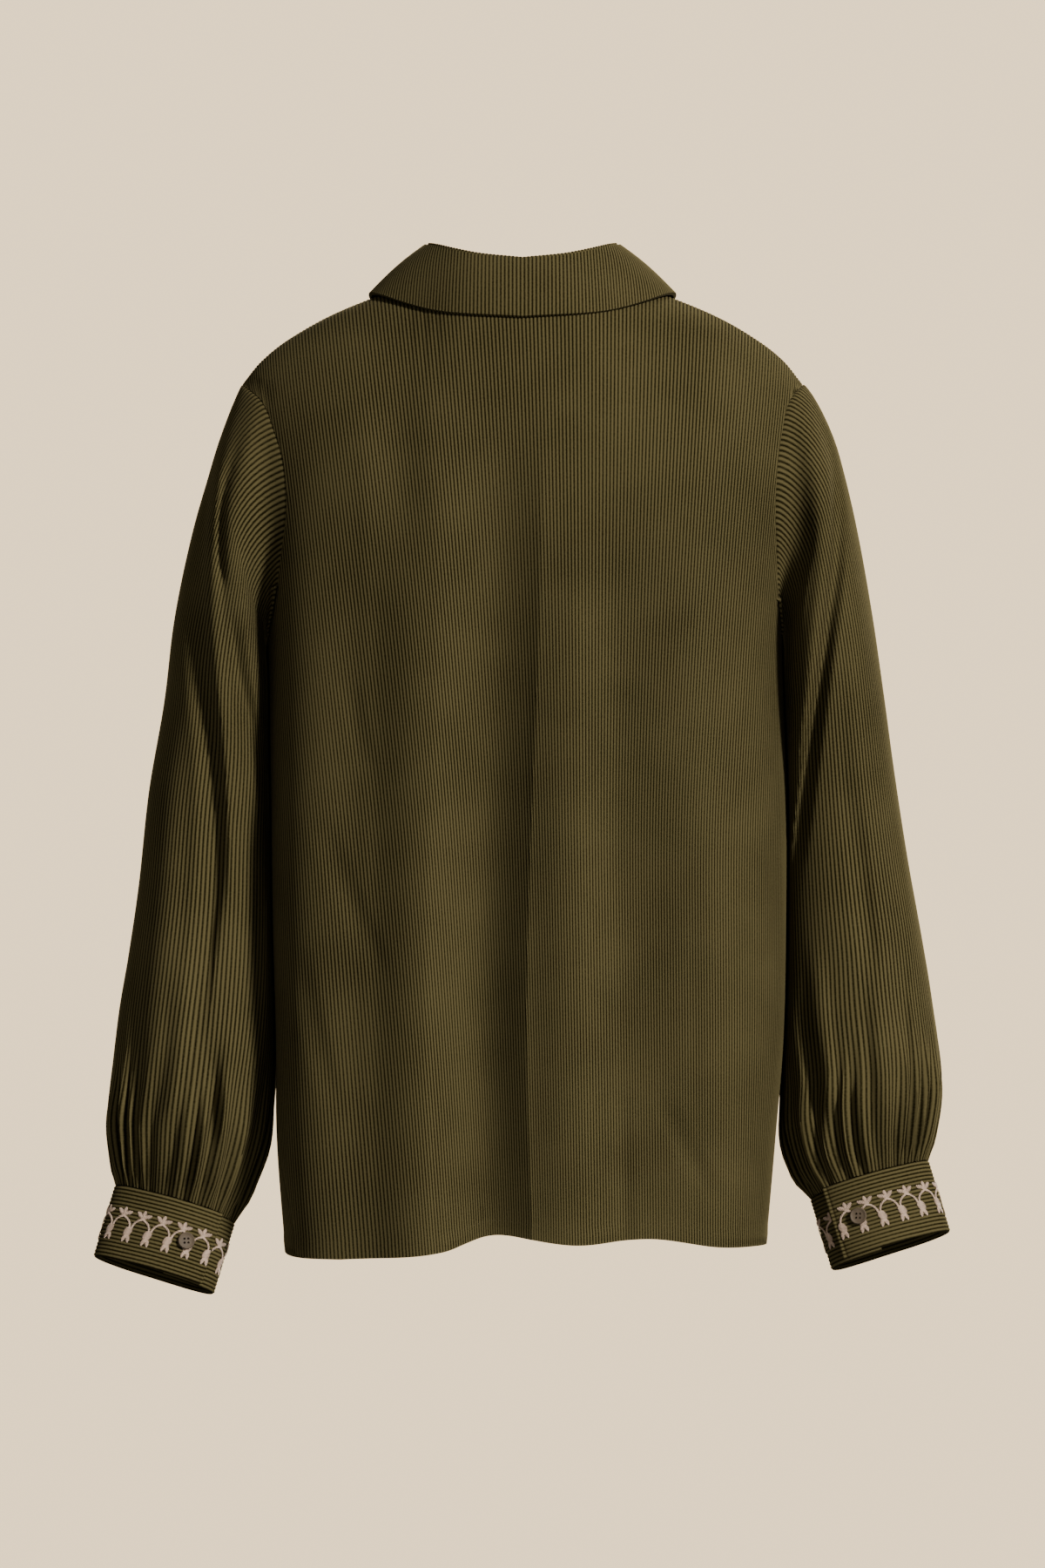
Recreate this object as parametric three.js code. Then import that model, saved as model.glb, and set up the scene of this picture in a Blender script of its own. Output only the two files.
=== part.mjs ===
// A corduroy shirt, filled out as when it is worn, with nobody in it.
// Units are millimetres, +Z is up, the shirt's front faces -Y and the wearer's left is +X.
// The origin is the middle of the neck opening, level with the back of the neck seam.
// Each piece is a cloth wall: a grid of points on its outer face, and the same grid moved in.

import * as THREE from 'three';

// Driving dimensions: cloth
const CLOTH = 1.6;
const DOUBLE_CLOTH = 2.6;
const SEAM_GAP = 0.3;
const BUTTON = { radius: 5.9, foot: 4.9, crown: 5.4, thick: 2.6, rim: 1.2, dish: 0.5, clear: 0.5 };
const BUTTON_SIDES = 14;

// Driving dimensions: body
const UNDERARM_Z = -237;
const HEM_Z = -649;
const SHOULDER_TIP = { x: 193, z: -61 };
const NECK = { half: 66, back: 58, front: 62, backZ: 2, sideZ: 10, frontZ: -48 };
const SHOULDER_ROUND = { back: 150, front: 145 };
const SQUARENESS = 2.4;
const ROUND_ASPECT = 0.62;
const FRONT_LAP = 12;
const FRONT_UNDER = { to: 16, from: 46 };
const SIDE_CALM = 0.86;
const HAND = { left: 1, right: -1 };

// The body from the shoulders down: half widths to each side, depth to the back and to the front
const BODY_SECTIONS = [
  { z: 20, left: 201, right: 204, back: 100, front: 96 },
  { z: -60, left: 200, right: 203, back: 104, front: 100 },
  { z: -110, left: 188, right: 194, back: 109, front: 110 },
  { z: -150, left: 181, right: 187, back: 112, front: 119 },
  { z: UNDERARM_Z, left: 175, right: 179, back: 110, front: 121 },
  { z: -340, left: 173, right: 182, back: 105, front: 112 },
  { z: -430, left: 172, right: 182, back: 103, front: 106 },
  { z: -510, left: 170, right: 180, back: 104, front: 106 },
  { z: -580, left: 169, right: 174, back: 107, front: 109 },
  { z: -660, left: 163, right: 167, back: 111, front: 113 },
];

// The shoulder seam, from the neck to the sleeve
const SHOULDER_LINE = [
  { x: NECK.half, z: NECK.sideZ },
  { x: 105, z: -2 },
  { x: 150, z: -23 },
  { x: 180, z: -45 },
  { x: SHOULDER_TIP.x, z: SHOULDER_TIP.z },
];

// The armhole seam: how far it lies from the middle of the back
const ARMHOLE = [
  { z: SHOULDER_TIP.z, left: 193, right: 193, scoop: 0 },
  { z: -72, left: 180, right: 184, scoop: 2 },
  { z: -94, left: 170, right: 178, scoop: 6 },
  { z: -113, left: 164, right: 175, scoop: 9 },
  { z: -146, left: 161, right: 173, scoop: 10 },
  { z: -181, left: 165, right: 174, scoop: 7 },
  { z: -215, left: 170, right: 176, scoop: 2 },
  { z: UNDERARM_Z, left: 175, right: 179, scoop: 0 },
];

// The back hem, which dips between the folds
const BACK_HEM = [
  { x: -168, z: -652 },
  { x: -134, z: -651 },
  { x: -89, z: -645 },
  { x: -36, z: -648 },
  { x: 25, z: -642 },
  { x: 68, z: -653 },
  { x: 148, z: -659 },
];

// Near the hem the left side seam swings to the back, as a share of the quarter round
const SIDE_SWING = { from: -530, to: -650, share: 0.2 };

// Folds: a line from (x0, z0) to (x1, z1), how wide it is to each side, how far it stands out.
// Each grows in over the first share of its line and ends over the last.
const FOLD_ENDS = { first: 0.35, last: 0.12 };
const BACK_FOLDS = [
  { x0: -4, z0: -70, x1: 4, z1: -300, left: 42, right: 22, out: -7 },
  { x0: 8, z0: -260, x1: 22, z1: -700, left: 46, right: 24, out: -15 },
  { x0: -34, z0: -120, x1: -34, z1: -700, left: 34, right: 36, out: 6 },
  { x0: 72, z0: -90, x1: 74, z1: -700, left: 34, right: 30, out: 5 },
  { x0: 86, z0: -10, x1: 80, z1: -230, left: 30, right: 24, out: -4 },
  { x0: -85, z0: -40, x1: -90, z1: -340, left: 26, right: 28, out: -5 },
  { x0: -90, z0: -300, x1: -112, z1: -700, left: 26, right: 30, out: -6 },
  { x0: -132, z0: -300, x1: -142, z1: -700, left: 24, right: 22, out: 4 },
  { x0: 128, z0: -240, x1: 118, z1: -700, left: 30, right: 26, out: 3 },
];
const FRONT_FOLDS = [
  { x0: 74, z0: -120, x1: 84, z1: -700, left: 34, right: 26, out: 6 },
  { x0: 46, z0: -180, x1: 44, z1: -700, left: 26, right: 24, out: -7 },
  { x0: 120, z0: -210, x1: 126, z1: -700, left: 26, right: 30, out: -6 },
  { x0: -70, z0: -140, x1: -80, z1: -700, left: 30, right: 32, out: 6 },
  { x0: -112, z0: -170, x1: -120, z1: -700, left: 28, right: 26, out: -7 },
  { x0: -38, z0: -220, x1: -42, z1: -700, left: 22, right: 24, out: -5 },
];

// Sleeve rings from the armhole to the cuff: the outer and inner edges and the depth to each face.
// `at` is the share of the sleeve's length, `shift` moves a ring to the back, and `lift` turns its
// near side up, in degrees.
const SLEEVE_RINGS = {
  left: [
    { at: 0.00, outX: 195, outZ: -61, inX: 178, inZ: -238, back: 50, front: 50, shift: 0, lift: 0 },
    { at: 0.06, outX: 206, outZ: -90, inX: 176, inZ: -245, back: 62, front: 62, shift: -3, lift: 0 },
    { at: 0.12, outX: 216, outZ: -123, inX: 172, inZ: -256, back: 68, front: 68, shift: -6, lift: 0 },
    { at: 0.19, outX: 227, outZ: -161, inX: 170, inZ: -271, back: 70, front: 70, shift: -9, lift: 0 },
    { at: 0.30, outX: 240, outZ: -222, inX: 170, inZ: -302, back: 68, front: 68, shift: -13, lift: 0 },
    { at: 0.40, outX: 247, outZ: -278, inX: 167, inZ: -338, back: 64, front: 66, shift: -16, lift: 0 },
    { at: 0.52, outX: 258, outZ: -342, inX: 166, inZ: -385, back: 60, front: 64, shift: -18, lift: 0 },
    { at: 0.63, outX: 265, outZ: -406, inX: 165, inZ: -432, back: 60, front: 64, shift: -19, lift: 0 },
    { at: 0.72, outX: 272, outZ: -454, inX: 165, inZ: -472, back: 62, front: 64, shift: -19, lift: 1 },
    { at: 0.80, outX: 279, outZ: -496, inX: 166, inZ: -510, back: 62, front: 62, shift: -18, lift: 3 },
    { at: 0.88, outX: 284, outZ: -544, inX: 171, inZ: -554, back: 58, front: 56, shift: -15, lift: 6 },
    { at: 0.93, outX: 286, outZ: -572, inX: 177, inZ: -585, back: 50, front: 48, shift: -12, lift: 8 },
    { at: 0.965, outX: 283, outZ: -595, inX: 187, inZ: -612, back: 38, front: 36, shift: -10, lift: 10 },
    { at: 1.00, outX: 280, outZ: -613, inX: 199, inZ: -637, back: 22, front: 22, shift: -8, lift: 12 },
  ],
  right: [
    { at: 0.00, outX: 198, outZ: -56, inX: 182, inZ: -238, back: 50, front: 50, shift: 0, lift: 0 },
    { at: 0.06, outX: 211, outZ: -86, inX: 180, inZ: -245, back: 62, front: 62, shift: -3, lift: 0 },
    { at: 0.12, outX: 221, outZ: -120, inX: 177, inZ: -256, back: 68, front: 68, shift: -6, lift: 0 },
    { at: 0.19, outX: 230, outZ: -158, inX: 176, inZ: -271, back: 70, front: 70, shift: -9, lift: 0 },
    { at: 0.30, outX: 241, outZ: -218, inX: 176, inZ: -302, back: 68, front: 68, shift: -13, lift: 0 },
    { at: 0.40, outX: 249, outZ: -272, inX: 175, inZ: -336, back: 64, front: 66, shift: -16, lift: 0 },
    { at: 0.52, outX: 257, outZ: -330, inX: 175, inZ: -380, back: 60, front: 64, shift: -18, lift: 0 },
    { at: 0.63, outX: 266, outZ: -388, inX: 175, inZ: -424, back: 60, front: 64, shift: -19, lift: 0 },
    { at: 0.72, outX: 275, outZ: -438, inX: 175, inZ: -464, back: 62, front: 64, shift: -19, lift: 1 },
    { at: 0.80, outX: 282, outZ: -480, inX: 174, inZ: -502, back: 62, front: 62, shift: -18, lift: 3 },
    { at: 0.88, outX: 288, outZ: -528, inX: 177, inZ: -548, back: 58, front: 56, shift: -15, lift: 6 },
    { at: 0.93, outX: 288, outZ: -553, inX: 179, inZ: -578, back: 50, front: 48, shift: -12, lift: 8 },
    { at: 0.965, outX: 284, outZ: -576, inX: 187, inZ: -602, back: 38, front: 36, shift: -10, lift: 10 },
    { at: 1.00, outX: 279, outZ: -596, inX: 199, inZ: -620, back: 22, front: 22, shift: -8, lift: 12 },
  ],
};
const SLEEVE_SQUARENESS = 2.15;
const SLEEVE_CLEAR = { gap: 1.8, soft: 6, above: 4, below: 12 };
const SLEEVE_HEAD = { from: -0.02, to: 0.1 };
const FOLD_CALM = { head: 0.03, headEnd: 0.12, cuff: 0.9, cuffEnd: 0.99, side: 0.1, sideEnd: 0.7 };
const SLEEVE_FOLDS = {
  left: [
    { x0: 221, z0: -110, x1: 220, z1: -640, left: 14, right: 15, out: -8 },
    { x0: 200, z0: -60, x1: 196, z1: -300, left: 11, right: 12, out: -6 },
    { x0: 238, z0: -260, x1: 252, z1: -600, left: 16, right: 14, out: 4 },
    { x0: 262, z0: -430, x1: 268, z1: -600, left: 10, right: 10, out: -4 },
    { x0: 186, z0: -300, x1: 186, z1: -520, left: 12, right: 12, out: -7 },
  ],
  right: [
    { x0: 212, z0: -90, x1: 197, z1: -360, left: 12, right: 12, out: -8 },
    { x0: 226, z0: -110, x1: 232, z1: -420, left: 16, right: 14, out: 4 },
    { x0: 246, z0: -330, x1: 252, z1: -620, left: 14, right: 13, out: -5 },
    { x0: 222, z0: -430, x1: 224, z1: -620, left: 12, right: 12, out: -4 },
    { x0: 202, z0: -390, x1: 206, z1: -600, left: 12, right: 12, out: 4 },
  ],
};
const GATHERS = { count: 24, out: 2.6, from: 0.82, full: 0.97, seam: 0.35, seamFrom: 0.975 };

// Cuffs: a band round the wrist, lapped over itself at the slit
const CUFF = { high: 51, below: 0.5, slitColumn: 6, lapColumns: 5, fade: 0.12, proud: 1.2 };
const LAP_LIFT = DOUBLE_CLOTH + 0.8;
const UNDER_LAP_DROP = { left: 1.5, right: 2, from: 0.72, full: 0.95 };
const SLIT = { top: 0.85, lapFull: 0.98, topGap: 0.6, bottomGap: 1.8 };
const SLIT_STRIP = { from: 0.104, to: 0.15, top: 0.835, bottom: 0.975 };
const STRIP_INSIDE = { left: CLOTH + 0.8, right: CLOTH + 1.5 };
const CUFF_BUTTON = { round: 0.07, down: 0.52 };

// Collar: the fold line and the outer edge of the fall, by degrees turned from the centre back
const COLLAR_FOLD = [
  { turn: 0, z: 22.5 },
  { turn: 45, z: 25.5 },
  { turn: 75, z: 32 },
  { turn: 90, z: 35 },
  { turn: 115, z: 27 },
  { turn: 150, z: 3 },
  { turn: 190, z: -21 },
];
const FALL_EDGE = [
  { turn: 0, x: 0, z: -13 },
  { turn: 28, x: 46, z: -11 },
  { turn: 58, x: 84, z: -7 },
  { turn: 78, x: 102, z: -2 },
  { turn: 92, x: 106, z: -2.5 },
  { turn: 112, x: 103, z: -10 },
  { turn: 140, x: 84, z: -48 },
  { turn: 170, x: 56, z: -96 },
];
const STAND = {
  endTurn: 188,
  inset: 0.6,
  lean: 2,
  lapLift: DOUBLE_CLOTH + 0.5,
  lapFrom: 150,
  lapFull: 172,
};
const FALL = {
  endTurn: 168,
  roll: 4.2,
  rollShare: 0.2,
  crest: 1.5,
  clear: DOUBLE_CLOTH + 1.5,
  bulge: 3,
  sideBulge: 2,
};
const ON_SHOULDER = { full: 20, end: 60, seam: 12 };
const COLLAR_STEP = 12;

// Front buttons, down the middle of the upper front
const FRONT_BUTTONS = { count: 7, firstZ: -78, pitch: 86 };

// How finely each piece is divided
const GRID = { neck: 6, shoulder: 7, upperRows: 12, lowerRows: 9, sleeveRows: 17, perArmholeRow: 2 };
const ROW_CROWDING = 1.8;
const SEAM_STEP = 0.55;
const COLUMNS = GRID.neck + GRID.shoulder;
const SLEEVE_COLUMNS = 2 * GRID.upperRows * GRID.perArmholeRow;

const SLIT_TURN = CUFF.slitColumn / SLEEVE_COLUMNS;
const LAP_SHARE = CUFF.lapColumns / SLEEVE_COLUMNS;

const MATERIALS = {
  corduroy: { color: 0x4a4123, roughness: 0.95 },
  button: { color: 0x3b2a1c, roughness: 0.35 },
};

const degrees = THREE.MathUtils.degToRad;
const mix = THREE.MathUtils.lerp;
const clamp = THREE.MathUtils.clamp;

/** 0 below `low`, 1 above `high`, with a soft start and end. */
function soft(value, low, high) {
  const share = clamp((value - low) / (high - low), 0, 1);
  return share * share * (3 - 2 * share);
}

/** Reads a table's named column at a place between its rows, on one smooth curve. */
function read(rows, key, at, column) {
  const rising = rows[rows.length - 1][key] > rows[0][key] ? 1 : -1;
  const last = rows.length - 1;
  const place = rising * at;
  if (place <= rising * rows[0][key]) return rows[0][column];
  if (place >= rising * rows[last][key]) return rows[last][column];
  let index = 0;
  while (rising * rows[index + 1][key] < place) index += 1;
  const slope = (i, j) => (rows[j][column] - rows[i][column]) / (rows[j][key] - rows[i][key]);
  const start = rows[index];
  const end = rows[index + 1];
  const span = end[key] - start[key];
  const share = (at - start[key]) / span;
  const here = slope(index, index + 1);
  const before = index > 0 ? (slope(index - 1, index) + here) / 2 : here;
  const after = index + 1 < last ? (here + slope(index + 1, index + 2)) / 2 : here;
  const square = share * share;
  const cube = square * share;
  return (2 * cube - 3 * square + 1) * start[column] + (cube - 2 * square + share) * span * before
    + (3 * square - 2 * cube) * end[column] + (cube - square) * span * after;
}

/** A quarter of a rounded oblong, walked at an even pace: from its flat back (0) to its side (1). */
function quarterRound(power, aspect) {
  const steps = 120;
  const walk = [{ length: 0, side: 0, depth: 1 }];
  for (let step = 1; step <= steps; step += 1) {
    const angle = degrees(90 * step / steps);
    const side = Math.sin(angle) ** (2 / power);
    const depth = Math.abs(Math.cos(angle)) ** (2 / power);
    const before = walk[step - 1];
    const length = before.length + Math.hypot(side - before.side, aspect * (depth - before.depth));
    walk.push({ length, side, depth });
  }
  const whole = walk[steps].length;
  return (share) => {
    const target = clamp(share, 0, 1) * whole;
    let step = 1;
    while (step < steps && walk[step].length < target) step += 1;
    const low = walk[step - 1];
    const high = walk[step];
    const part = (target - low.length) / (high.length - low.length);
    return { side: mix(low.side, high.side, part), depth: mix(low.depth, high.depth, part) };
  };
}
const bodyRound = quarterRound(SQUARENESS, ROUND_ASPECT);

/** How far the folds of a table push the cloth out at a place seen from behind. */
function foldAt(folds, x, z) {
  let out = 0;
  for (const fold of folds) {
    const share = (z - fold.z0) / (fold.z1 - fold.z0);
    const across = x - mix(fold.x0, fold.x1, share);
    const reach = across > 0 ? fold.left : fold.right;
    const near = Math.max(0, 1 - (across / reach) ** 2) ** 2;
    const ends = soft(share, 0, FOLD_ENDS.first) * soft(1 - share, 0, FOLD_ENDS.last);
    out += fold.out * near * ends;
  }
  return out;
}

/** The top edge of the back or front: the neck edge, then the shoulder seam. */
function topLine(face, x) {
  const out = Math.abs(x);
  if (out >= NECK.half) return { y: 0, z: read(SHOULDER_LINE, 'x', out, 'z') };
  const round = Math.sqrt(1 - (out / NECK.half) ** 2);
  if (face === 'back') return { y: NECK.back * round, z: mix(NECK.sideZ, NECK.backZ, round) };
  return { y: -NECK.front * round, z: mix(NECK.sideZ, NECK.frontZ, round) };
}

/** The half width of the body's round at a height. */
const halfWidth = (hand, z) => read(BODY_SECTIONS, 'z', z, hand);

/** Where the body's surface lies, front to back, at a place seen from behind. */
function bodyY(face, hand, x, z) {
  const sign = face === 'back' ? 1 : -1;
  const wide = Math.min(1, Math.abs(x) / halfWidth(hand, z));
  const full = sign * read(BODY_SECTIONS, 'z', z, face) * (1 - wide ** SQUARENESS) ** (1 / SQUARENESS);
  const top = topLine(face, x);
  const fall = clamp((top.z - z) / SHOULDER_ROUND[face], 0, 1);
  const cap = Math.sqrt(1 - (1 - fall) ** 2);
  return top.y + (full - top.y) * cap;
}

/** The fold push on the body, front or back, fading out towards the side seams. */
function bodyFold(face, hand, x, z) {
  const wide = Math.min(1, Math.abs(x) / halfWidth(hand, z));
  const folds = face === 'back' ? BACK_FOLDS : FRONT_FOLDS;
  const sign = face === 'back' ? 1 : -1;
  return sign * foldAt(folds, x, z) * (1 - soft(wide, SIDE_CALM, 1));
}

/** How far the left side seam has swung to the back at a height. */
function sideSwing(hand, z) {
  return hand === 'left' ? SIDE_SWING.share * soft(-z, -SIDE_SWING.from, -SIDE_SWING.to) : 0;
}

/**
 * A point of the back or a front. `share` runs from the centre (0) to the seam (1), below 0 into the
 * front's lap. `down` runs from the top edge (0) to the underarm (1) and the hem (2).
 */
function bodyPoint(face, hand, share, down) {
  const sign = HAND[hand];
  const hemAt = (x) => {
    const plain = face === 'back' ? 0 : 1 - soft(share, 0.5, 1);
    return mix(read(BACK_HEM, 'x', x, 'z'), HEM_Z, plain);
  };
  if (down <= 1) {
    const drop = down ** ROW_CROWDING;
    const top = topLine(face, share * SHOULDER_TIP.x);
    const z = mix(top.z, UNDERARM_Z, drop);
    const scoop = face === 'front' ? read(ARMHOLE, 'z', z, 'scoop') : 0;
    const edge = read(ARMHOLE, 'z', z, hand) - scoop;
    const even = share > 0 ? bodyRound(share).side : share;
    const x = sign * edge * mix(share, even, drop);
    const y = bodyY(face, hand, x, z) + bodyFold(face, hand, x, z);
    return new THREE.Vector3(x, y, z);
  }
  const guess = sign * halfWidth(hand, HEM_Z) * bodyRound(share).side;
  const z = mix(UNDERARM_Z, hemAt(guess), down - 1);
  const swing = sideSwing(hand, z);
  const turn = face === 'back' ? share * (1 - swing) : share * (1 + swing);
  const round = bodyRound(turn > 1 ? 2 - turn : turn);
  const backward = (face === 'back') === (turn <= 1);
  const x = turn < 0 ? sign * halfWidth(hand, z) * turn : sign * halfWidth(hand, z) * round.side;
  const depth = read(BODY_SECTIONS, 'z', z, backward ? 'back' : 'front');
  const y = (backward ? 1 : -1) * depth * round.depth + bodyFold(face, hand, x, z);
  return new THREE.Vector3(x, y, z);
}

/** The outward normal of a smooth surface, from two short steps along it. */
function normalOf(surface, u, v, outside) {
  const step = 1e-3;
  const here = surface(u, v);
  const alongU = surface(u + step, v).sub(here);
  const alongV = surface(u, v + step).sub(here);
  if (alongU.lengthSq() < 1e-12) alongU.copy(here).sub(surface(u - step, v));
  if (alongV.lengthSq() < 1e-12) alongV.copy(here).sub(surface(u, v - step));
  const normal = alongU.cross(alongV).normalize();
  return normal.dot(outside(here)) < 0 ? normal.negate() : normal;
}

/** A direction that points out of the body at a place on it. */
const outFromMiddle = (point) => new THREE.Vector3(point.x, point.y, 60);

/** A closed wall from a sheet: its outer points, its inner points and its four-sided faces. */
function closeWall(outer, inner, quads) {
  const count = outer.length;
  const positions = [...outer, ...inner].flatMap((point) => [point.x, point.y, point.z]);
  const triangles = [];
  const edges = new Map();
  for (const [a, b, c, d] of quads) {
    triangles.push(a, b, c, a, c, d);
    triangles.push(a + count, c + count, b + count, a + count, d + count, c + count);
    for (const [from, to] of [[a, b], [b, c], [c, d], [d, a]]) {
      if (edges.has(`${to},${from}`)) edges.delete(`${to},${from}`);
      else edges.set(`${from},${to}`, [from, to]);
    }
  }
  for (const [from, to] of edges.values()) {
    triangles.push(to, from, from + count, to, from + count, to + count);
  }
  const geometry = new THREE.BufferGeometry();
  geometry.setAttribute('position', new THREE.Float32BufferAttribute(positions, 3));
  geometry.setIndex(triangles);
  return geometry;
}

/** The faces of a plain grid, `columns` by `rows` points, turned over where its outside asks. */
function gridQuads(columns, rows, flip) {
  const quads = [];
  for (let row = 0; row + 1 < rows; row += 1) {
    for (let column = 0; column + 1 < columns; column += 1) {
      const a = row * columns + column;
      const quad = [a, a + 1, a + 1 + columns, a + columns];
      quads.push(flip ? quad.reverse() : quad);
    }
  }
  return quads;
}

/** Whether a quad's own turn faces against a normal. */
function facesIn(points, quad, normal) {
  const [a, b, c] = quad.map((index) => points[index]);
  const own = b.clone().sub(a).cross(c.clone().sub(a));
  return own.dot(normal) < 0;
}

const root = new THREE.Group();

/** Adds a mesh under its name. */
function addPiece(name, geometry, finish) {
  const material = new THREE.MeshStandardMaterial({ ...MATERIALS[finish], metalness: 0 });
  const mesh = new THREE.Mesh(geometry, material);
  mesh.name = name;
  root.add(mesh);
  return mesh;
}

/** The share from centre to seam of a column: the top follows the neck, the rest is even. */
function columnShare(column, down) {
  if (column < 0) return -FRONT_LAP / SHOULDER_TIP.x;
  const neckShare = NECK.half / SHOULDER_TIP.x;
  const top = column <= GRID.neck
    ? neckShare * Math.sin(degrees(90 * column / GRID.neck))
    : mix(neckShare, 1, (column - GRID.neck) / GRID.shoulder);
  return mix(top, column / COLUMNS, soft(down, 0, 1));
}

/** How far down a row of the body's grid lies. */
function rowDown(row) {
  return row <= GRID.upperRows ? row / GRID.upperRows : 1 + (row - GRID.upperRows) / GRID.lowerRows;
}
const BODY_ROWS = GRID.upperRows + GRID.lowerRows + 1;

/** A body point and its normal, with the folds, for the grid and for what lies on the panel. */
function bodySpot(face, hand, share, down) {
  const surface = (u, v) => bodyPoint(face, hand, u, v);
  const shy = Math.min(share, 0.999);
  const low = clamp(down, 1e-3, 1.998);
  return { point: surface(share, down), normal: normalOf(surface, shy, low, outFromMiddle) };
}

/** The row of body grid points on the armhole seam, from the shoulder to the underarm. */
function armholeEdge(face, hand) {
  const edge = [];
  for (let row = 0; row <= GRID.upperRows; row += 1) edge.push(bodySpot(face, hand, 1, rowDown(row)));
  return edge;
}

/** Moves a grid's edge points along the cloth, so that seams keep their gap. */
function trimSeam(grid, columns, rows, gap) {
  const at = (column, row) => grid[row * columns + column];
  const pull = (spot, towards) => {
    const way = towards.point.clone().sub(spot.point);
    spot.point.addScaledVector(way.normalize(), gap);
  };
  for (let row = 0; row < rows; row += 1) {
    pull(at(columns - 1, row), at(columns - 2, row));
    pull(at(0, row), at(1, row));
  }
  for (let column = 0; column < columns; column += 1) pull(at(column, 0), at(column, 1));
}

/** The wall of a panel from its grid of spots. */
function panelGeometry(grid, columns, rows, thick) {
  const outer = grid.map((spot) => spot.point);
  const inner = grid.map((spot) => spot.point.clone().addScaledVector(spot.normal, -thick));
  const middle = Math.floor((rows - 1) / 2) * columns + Math.floor(columns / 2);
  const flip = facesIn(outer, [middle, middle + 1, middle + 1 + columns], grid[middle].normal);
  return closeWall(outer, inner, gridQuads(columns, rows, flip));
}

/** The back: one piece from side seam to side seam. */
function makeBack() {
  const grid = [];
  const columns = 2 * COLUMNS + 1;
  for (let row = 0; row < BODY_ROWS; row += 1) {
    const down = rowDown(row);
    for (let column = -COLUMNS; column <= COLUMNS; column += 1) {
      const hand = column < 0 ? 'right' : 'left';
      grid.push(bodySpot('back', hand, columnShare(Math.abs(column), down), down));
    }
  }
  trimSeam(grid, columns, BODY_ROWS, SEAM_GAP / 2);
  return addPiece('back', panelGeometry(grid, columns, BODY_ROWS, CLOTH), 'corduroy');
}

/** A front: from its lap, past the centre, to the side seam. The left one lies under the right one. */
function makeFront(hand) {
  const grid = [];
  const columns = COLUMNS + 2;
  for (let row = 0; row < BODY_ROWS; row += 1) {
    const down = rowDown(row);
    for (let column = -1; column <= COLUMNS; column += 1) {
      const spot = bodySpot('front', hand, columnShare(column, down), down);
      const under = hand === 'left' ? 1 - soft(spot.point.x, FRONT_UNDER.to, FRONT_UNDER.from) : 0;
      spot.point.addScaledVector(spot.normal, -under * (CLOTH + 2 * SEAM_GAP));
      grid.push(spot);
    }
  }
  trimSeam(grid, columns, BODY_ROWS, SEAM_GAP / 2);
  return addPiece(`front_${hand}`, panelGeometry(grid, columns, BODY_ROWS, CLOTH), 'corduroy');
}

/** The outward lift of a cuff's upper lap, by the share turned from the inner side over the back. */
function lapLift(turn) {
  const past = turn - SLIT_TURN;
  if (past < 0) return 0;
  return LAP_LIFT * (1 - soft(past, LAP_SHARE, LAP_SHARE + CUFF.fade));
}

/** How far the under lap of a cuff hangs below the upper lap, by the share turned past the front. */
function underDrop(hand, turn) {
  const under = turn < SLIT_TURN ? 1 : soft(turn, UNDER_LAP_DROP.from, UNDER_LAP_DROP.full);
  return UNDER_LAP_DROP[hand] * under;
}

/** One ring of a sleeve: its middle, its directions and its sizes. */
function sleeveRing(hand, at) {
  const sign = HAND[hand];
  const rings = SLEEVE_RINGS[hand];
  const value = (column) => read(rings, 'at', at, column);
  const outer = new THREE.Vector3(sign * value('outX'), value('shift'), value('outZ'));
  const inner = new THREE.Vector3(sign * value('inX'), value('shift'), value('inZ'));
  const across = outer.clone().sub(inner).multiplyScalar(0.5);
  const half = across.length();
  across.normalize();
  const up = new THREE.Vector3(-across.z * sign, 0, Math.abs(across.x));
  const lift = degrees(value('lift'));
  const near = new THREE.Vector3(0, Math.cos(lift), 0).addScaledVector(up, Math.sin(lift));
  const middle = outer.add(inner).multiplyScalar(0.5);
  const down = new THREE.Vector3().crossVectors(across, near).normalize();
  if (down.z > 0) down.negate();
  return { middle, across, near, down, half, back: value('back'), front: value('front') };
}

/** A place on a ring: `turn` runs from the inner side (0) over the back to the outer side (0.5). */
function ringPoint(ring, turn, grow) {
  const angle = 2 * Math.PI * turn;
  const power = 2 / SLEEVE_SQUARENESS;
  const across = -Math.sign(Math.cos(angle)) * Math.abs(Math.cos(angle)) ** power;
  const near = Math.sign(Math.sin(angle)) * Math.abs(Math.sin(angle)) ** power;
  const deep = near > 0 ? ring.back : ring.front;
  return ring.middle.clone()
    .addScaledVector(ring.across, across * (ring.half + grow))
    .addScaledVector(ring.near, near * (deep + grow));
}

/** Moves a sleeve point out to the body's side where it would reach past it. */
function clearOfBody(hand, point) {
  const face = point.y >= 0 ? 'back' : 'front';
  const deep = Math.min(1, Math.abs(point.y) / read(BODY_SECTIONS, 'z', point.z, face));
  const wide = halfWidth(hand, point.z) * (1 - deep ** SQUARENESS) ** (1 / SQUARENESS);
  const side = wide + SLEEVE_CLEAR.gap;
  const over = Math.abs(point.x) - side;
  const reach = SLEEVE_CLEAR.soft;
  const kept = Math.abs(over) < reach ? (over + reach) ** 2 / (4 * reach) : Math.max(0, over);
  const below = soft(UNDERARM_Z - point.z, -SLEEVE_CLEAR.above, SLEEVE_CLEAR.below);
  point.x = HAND[hand] * mix(Math.abs(point.x), side + kept, below);
}

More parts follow.
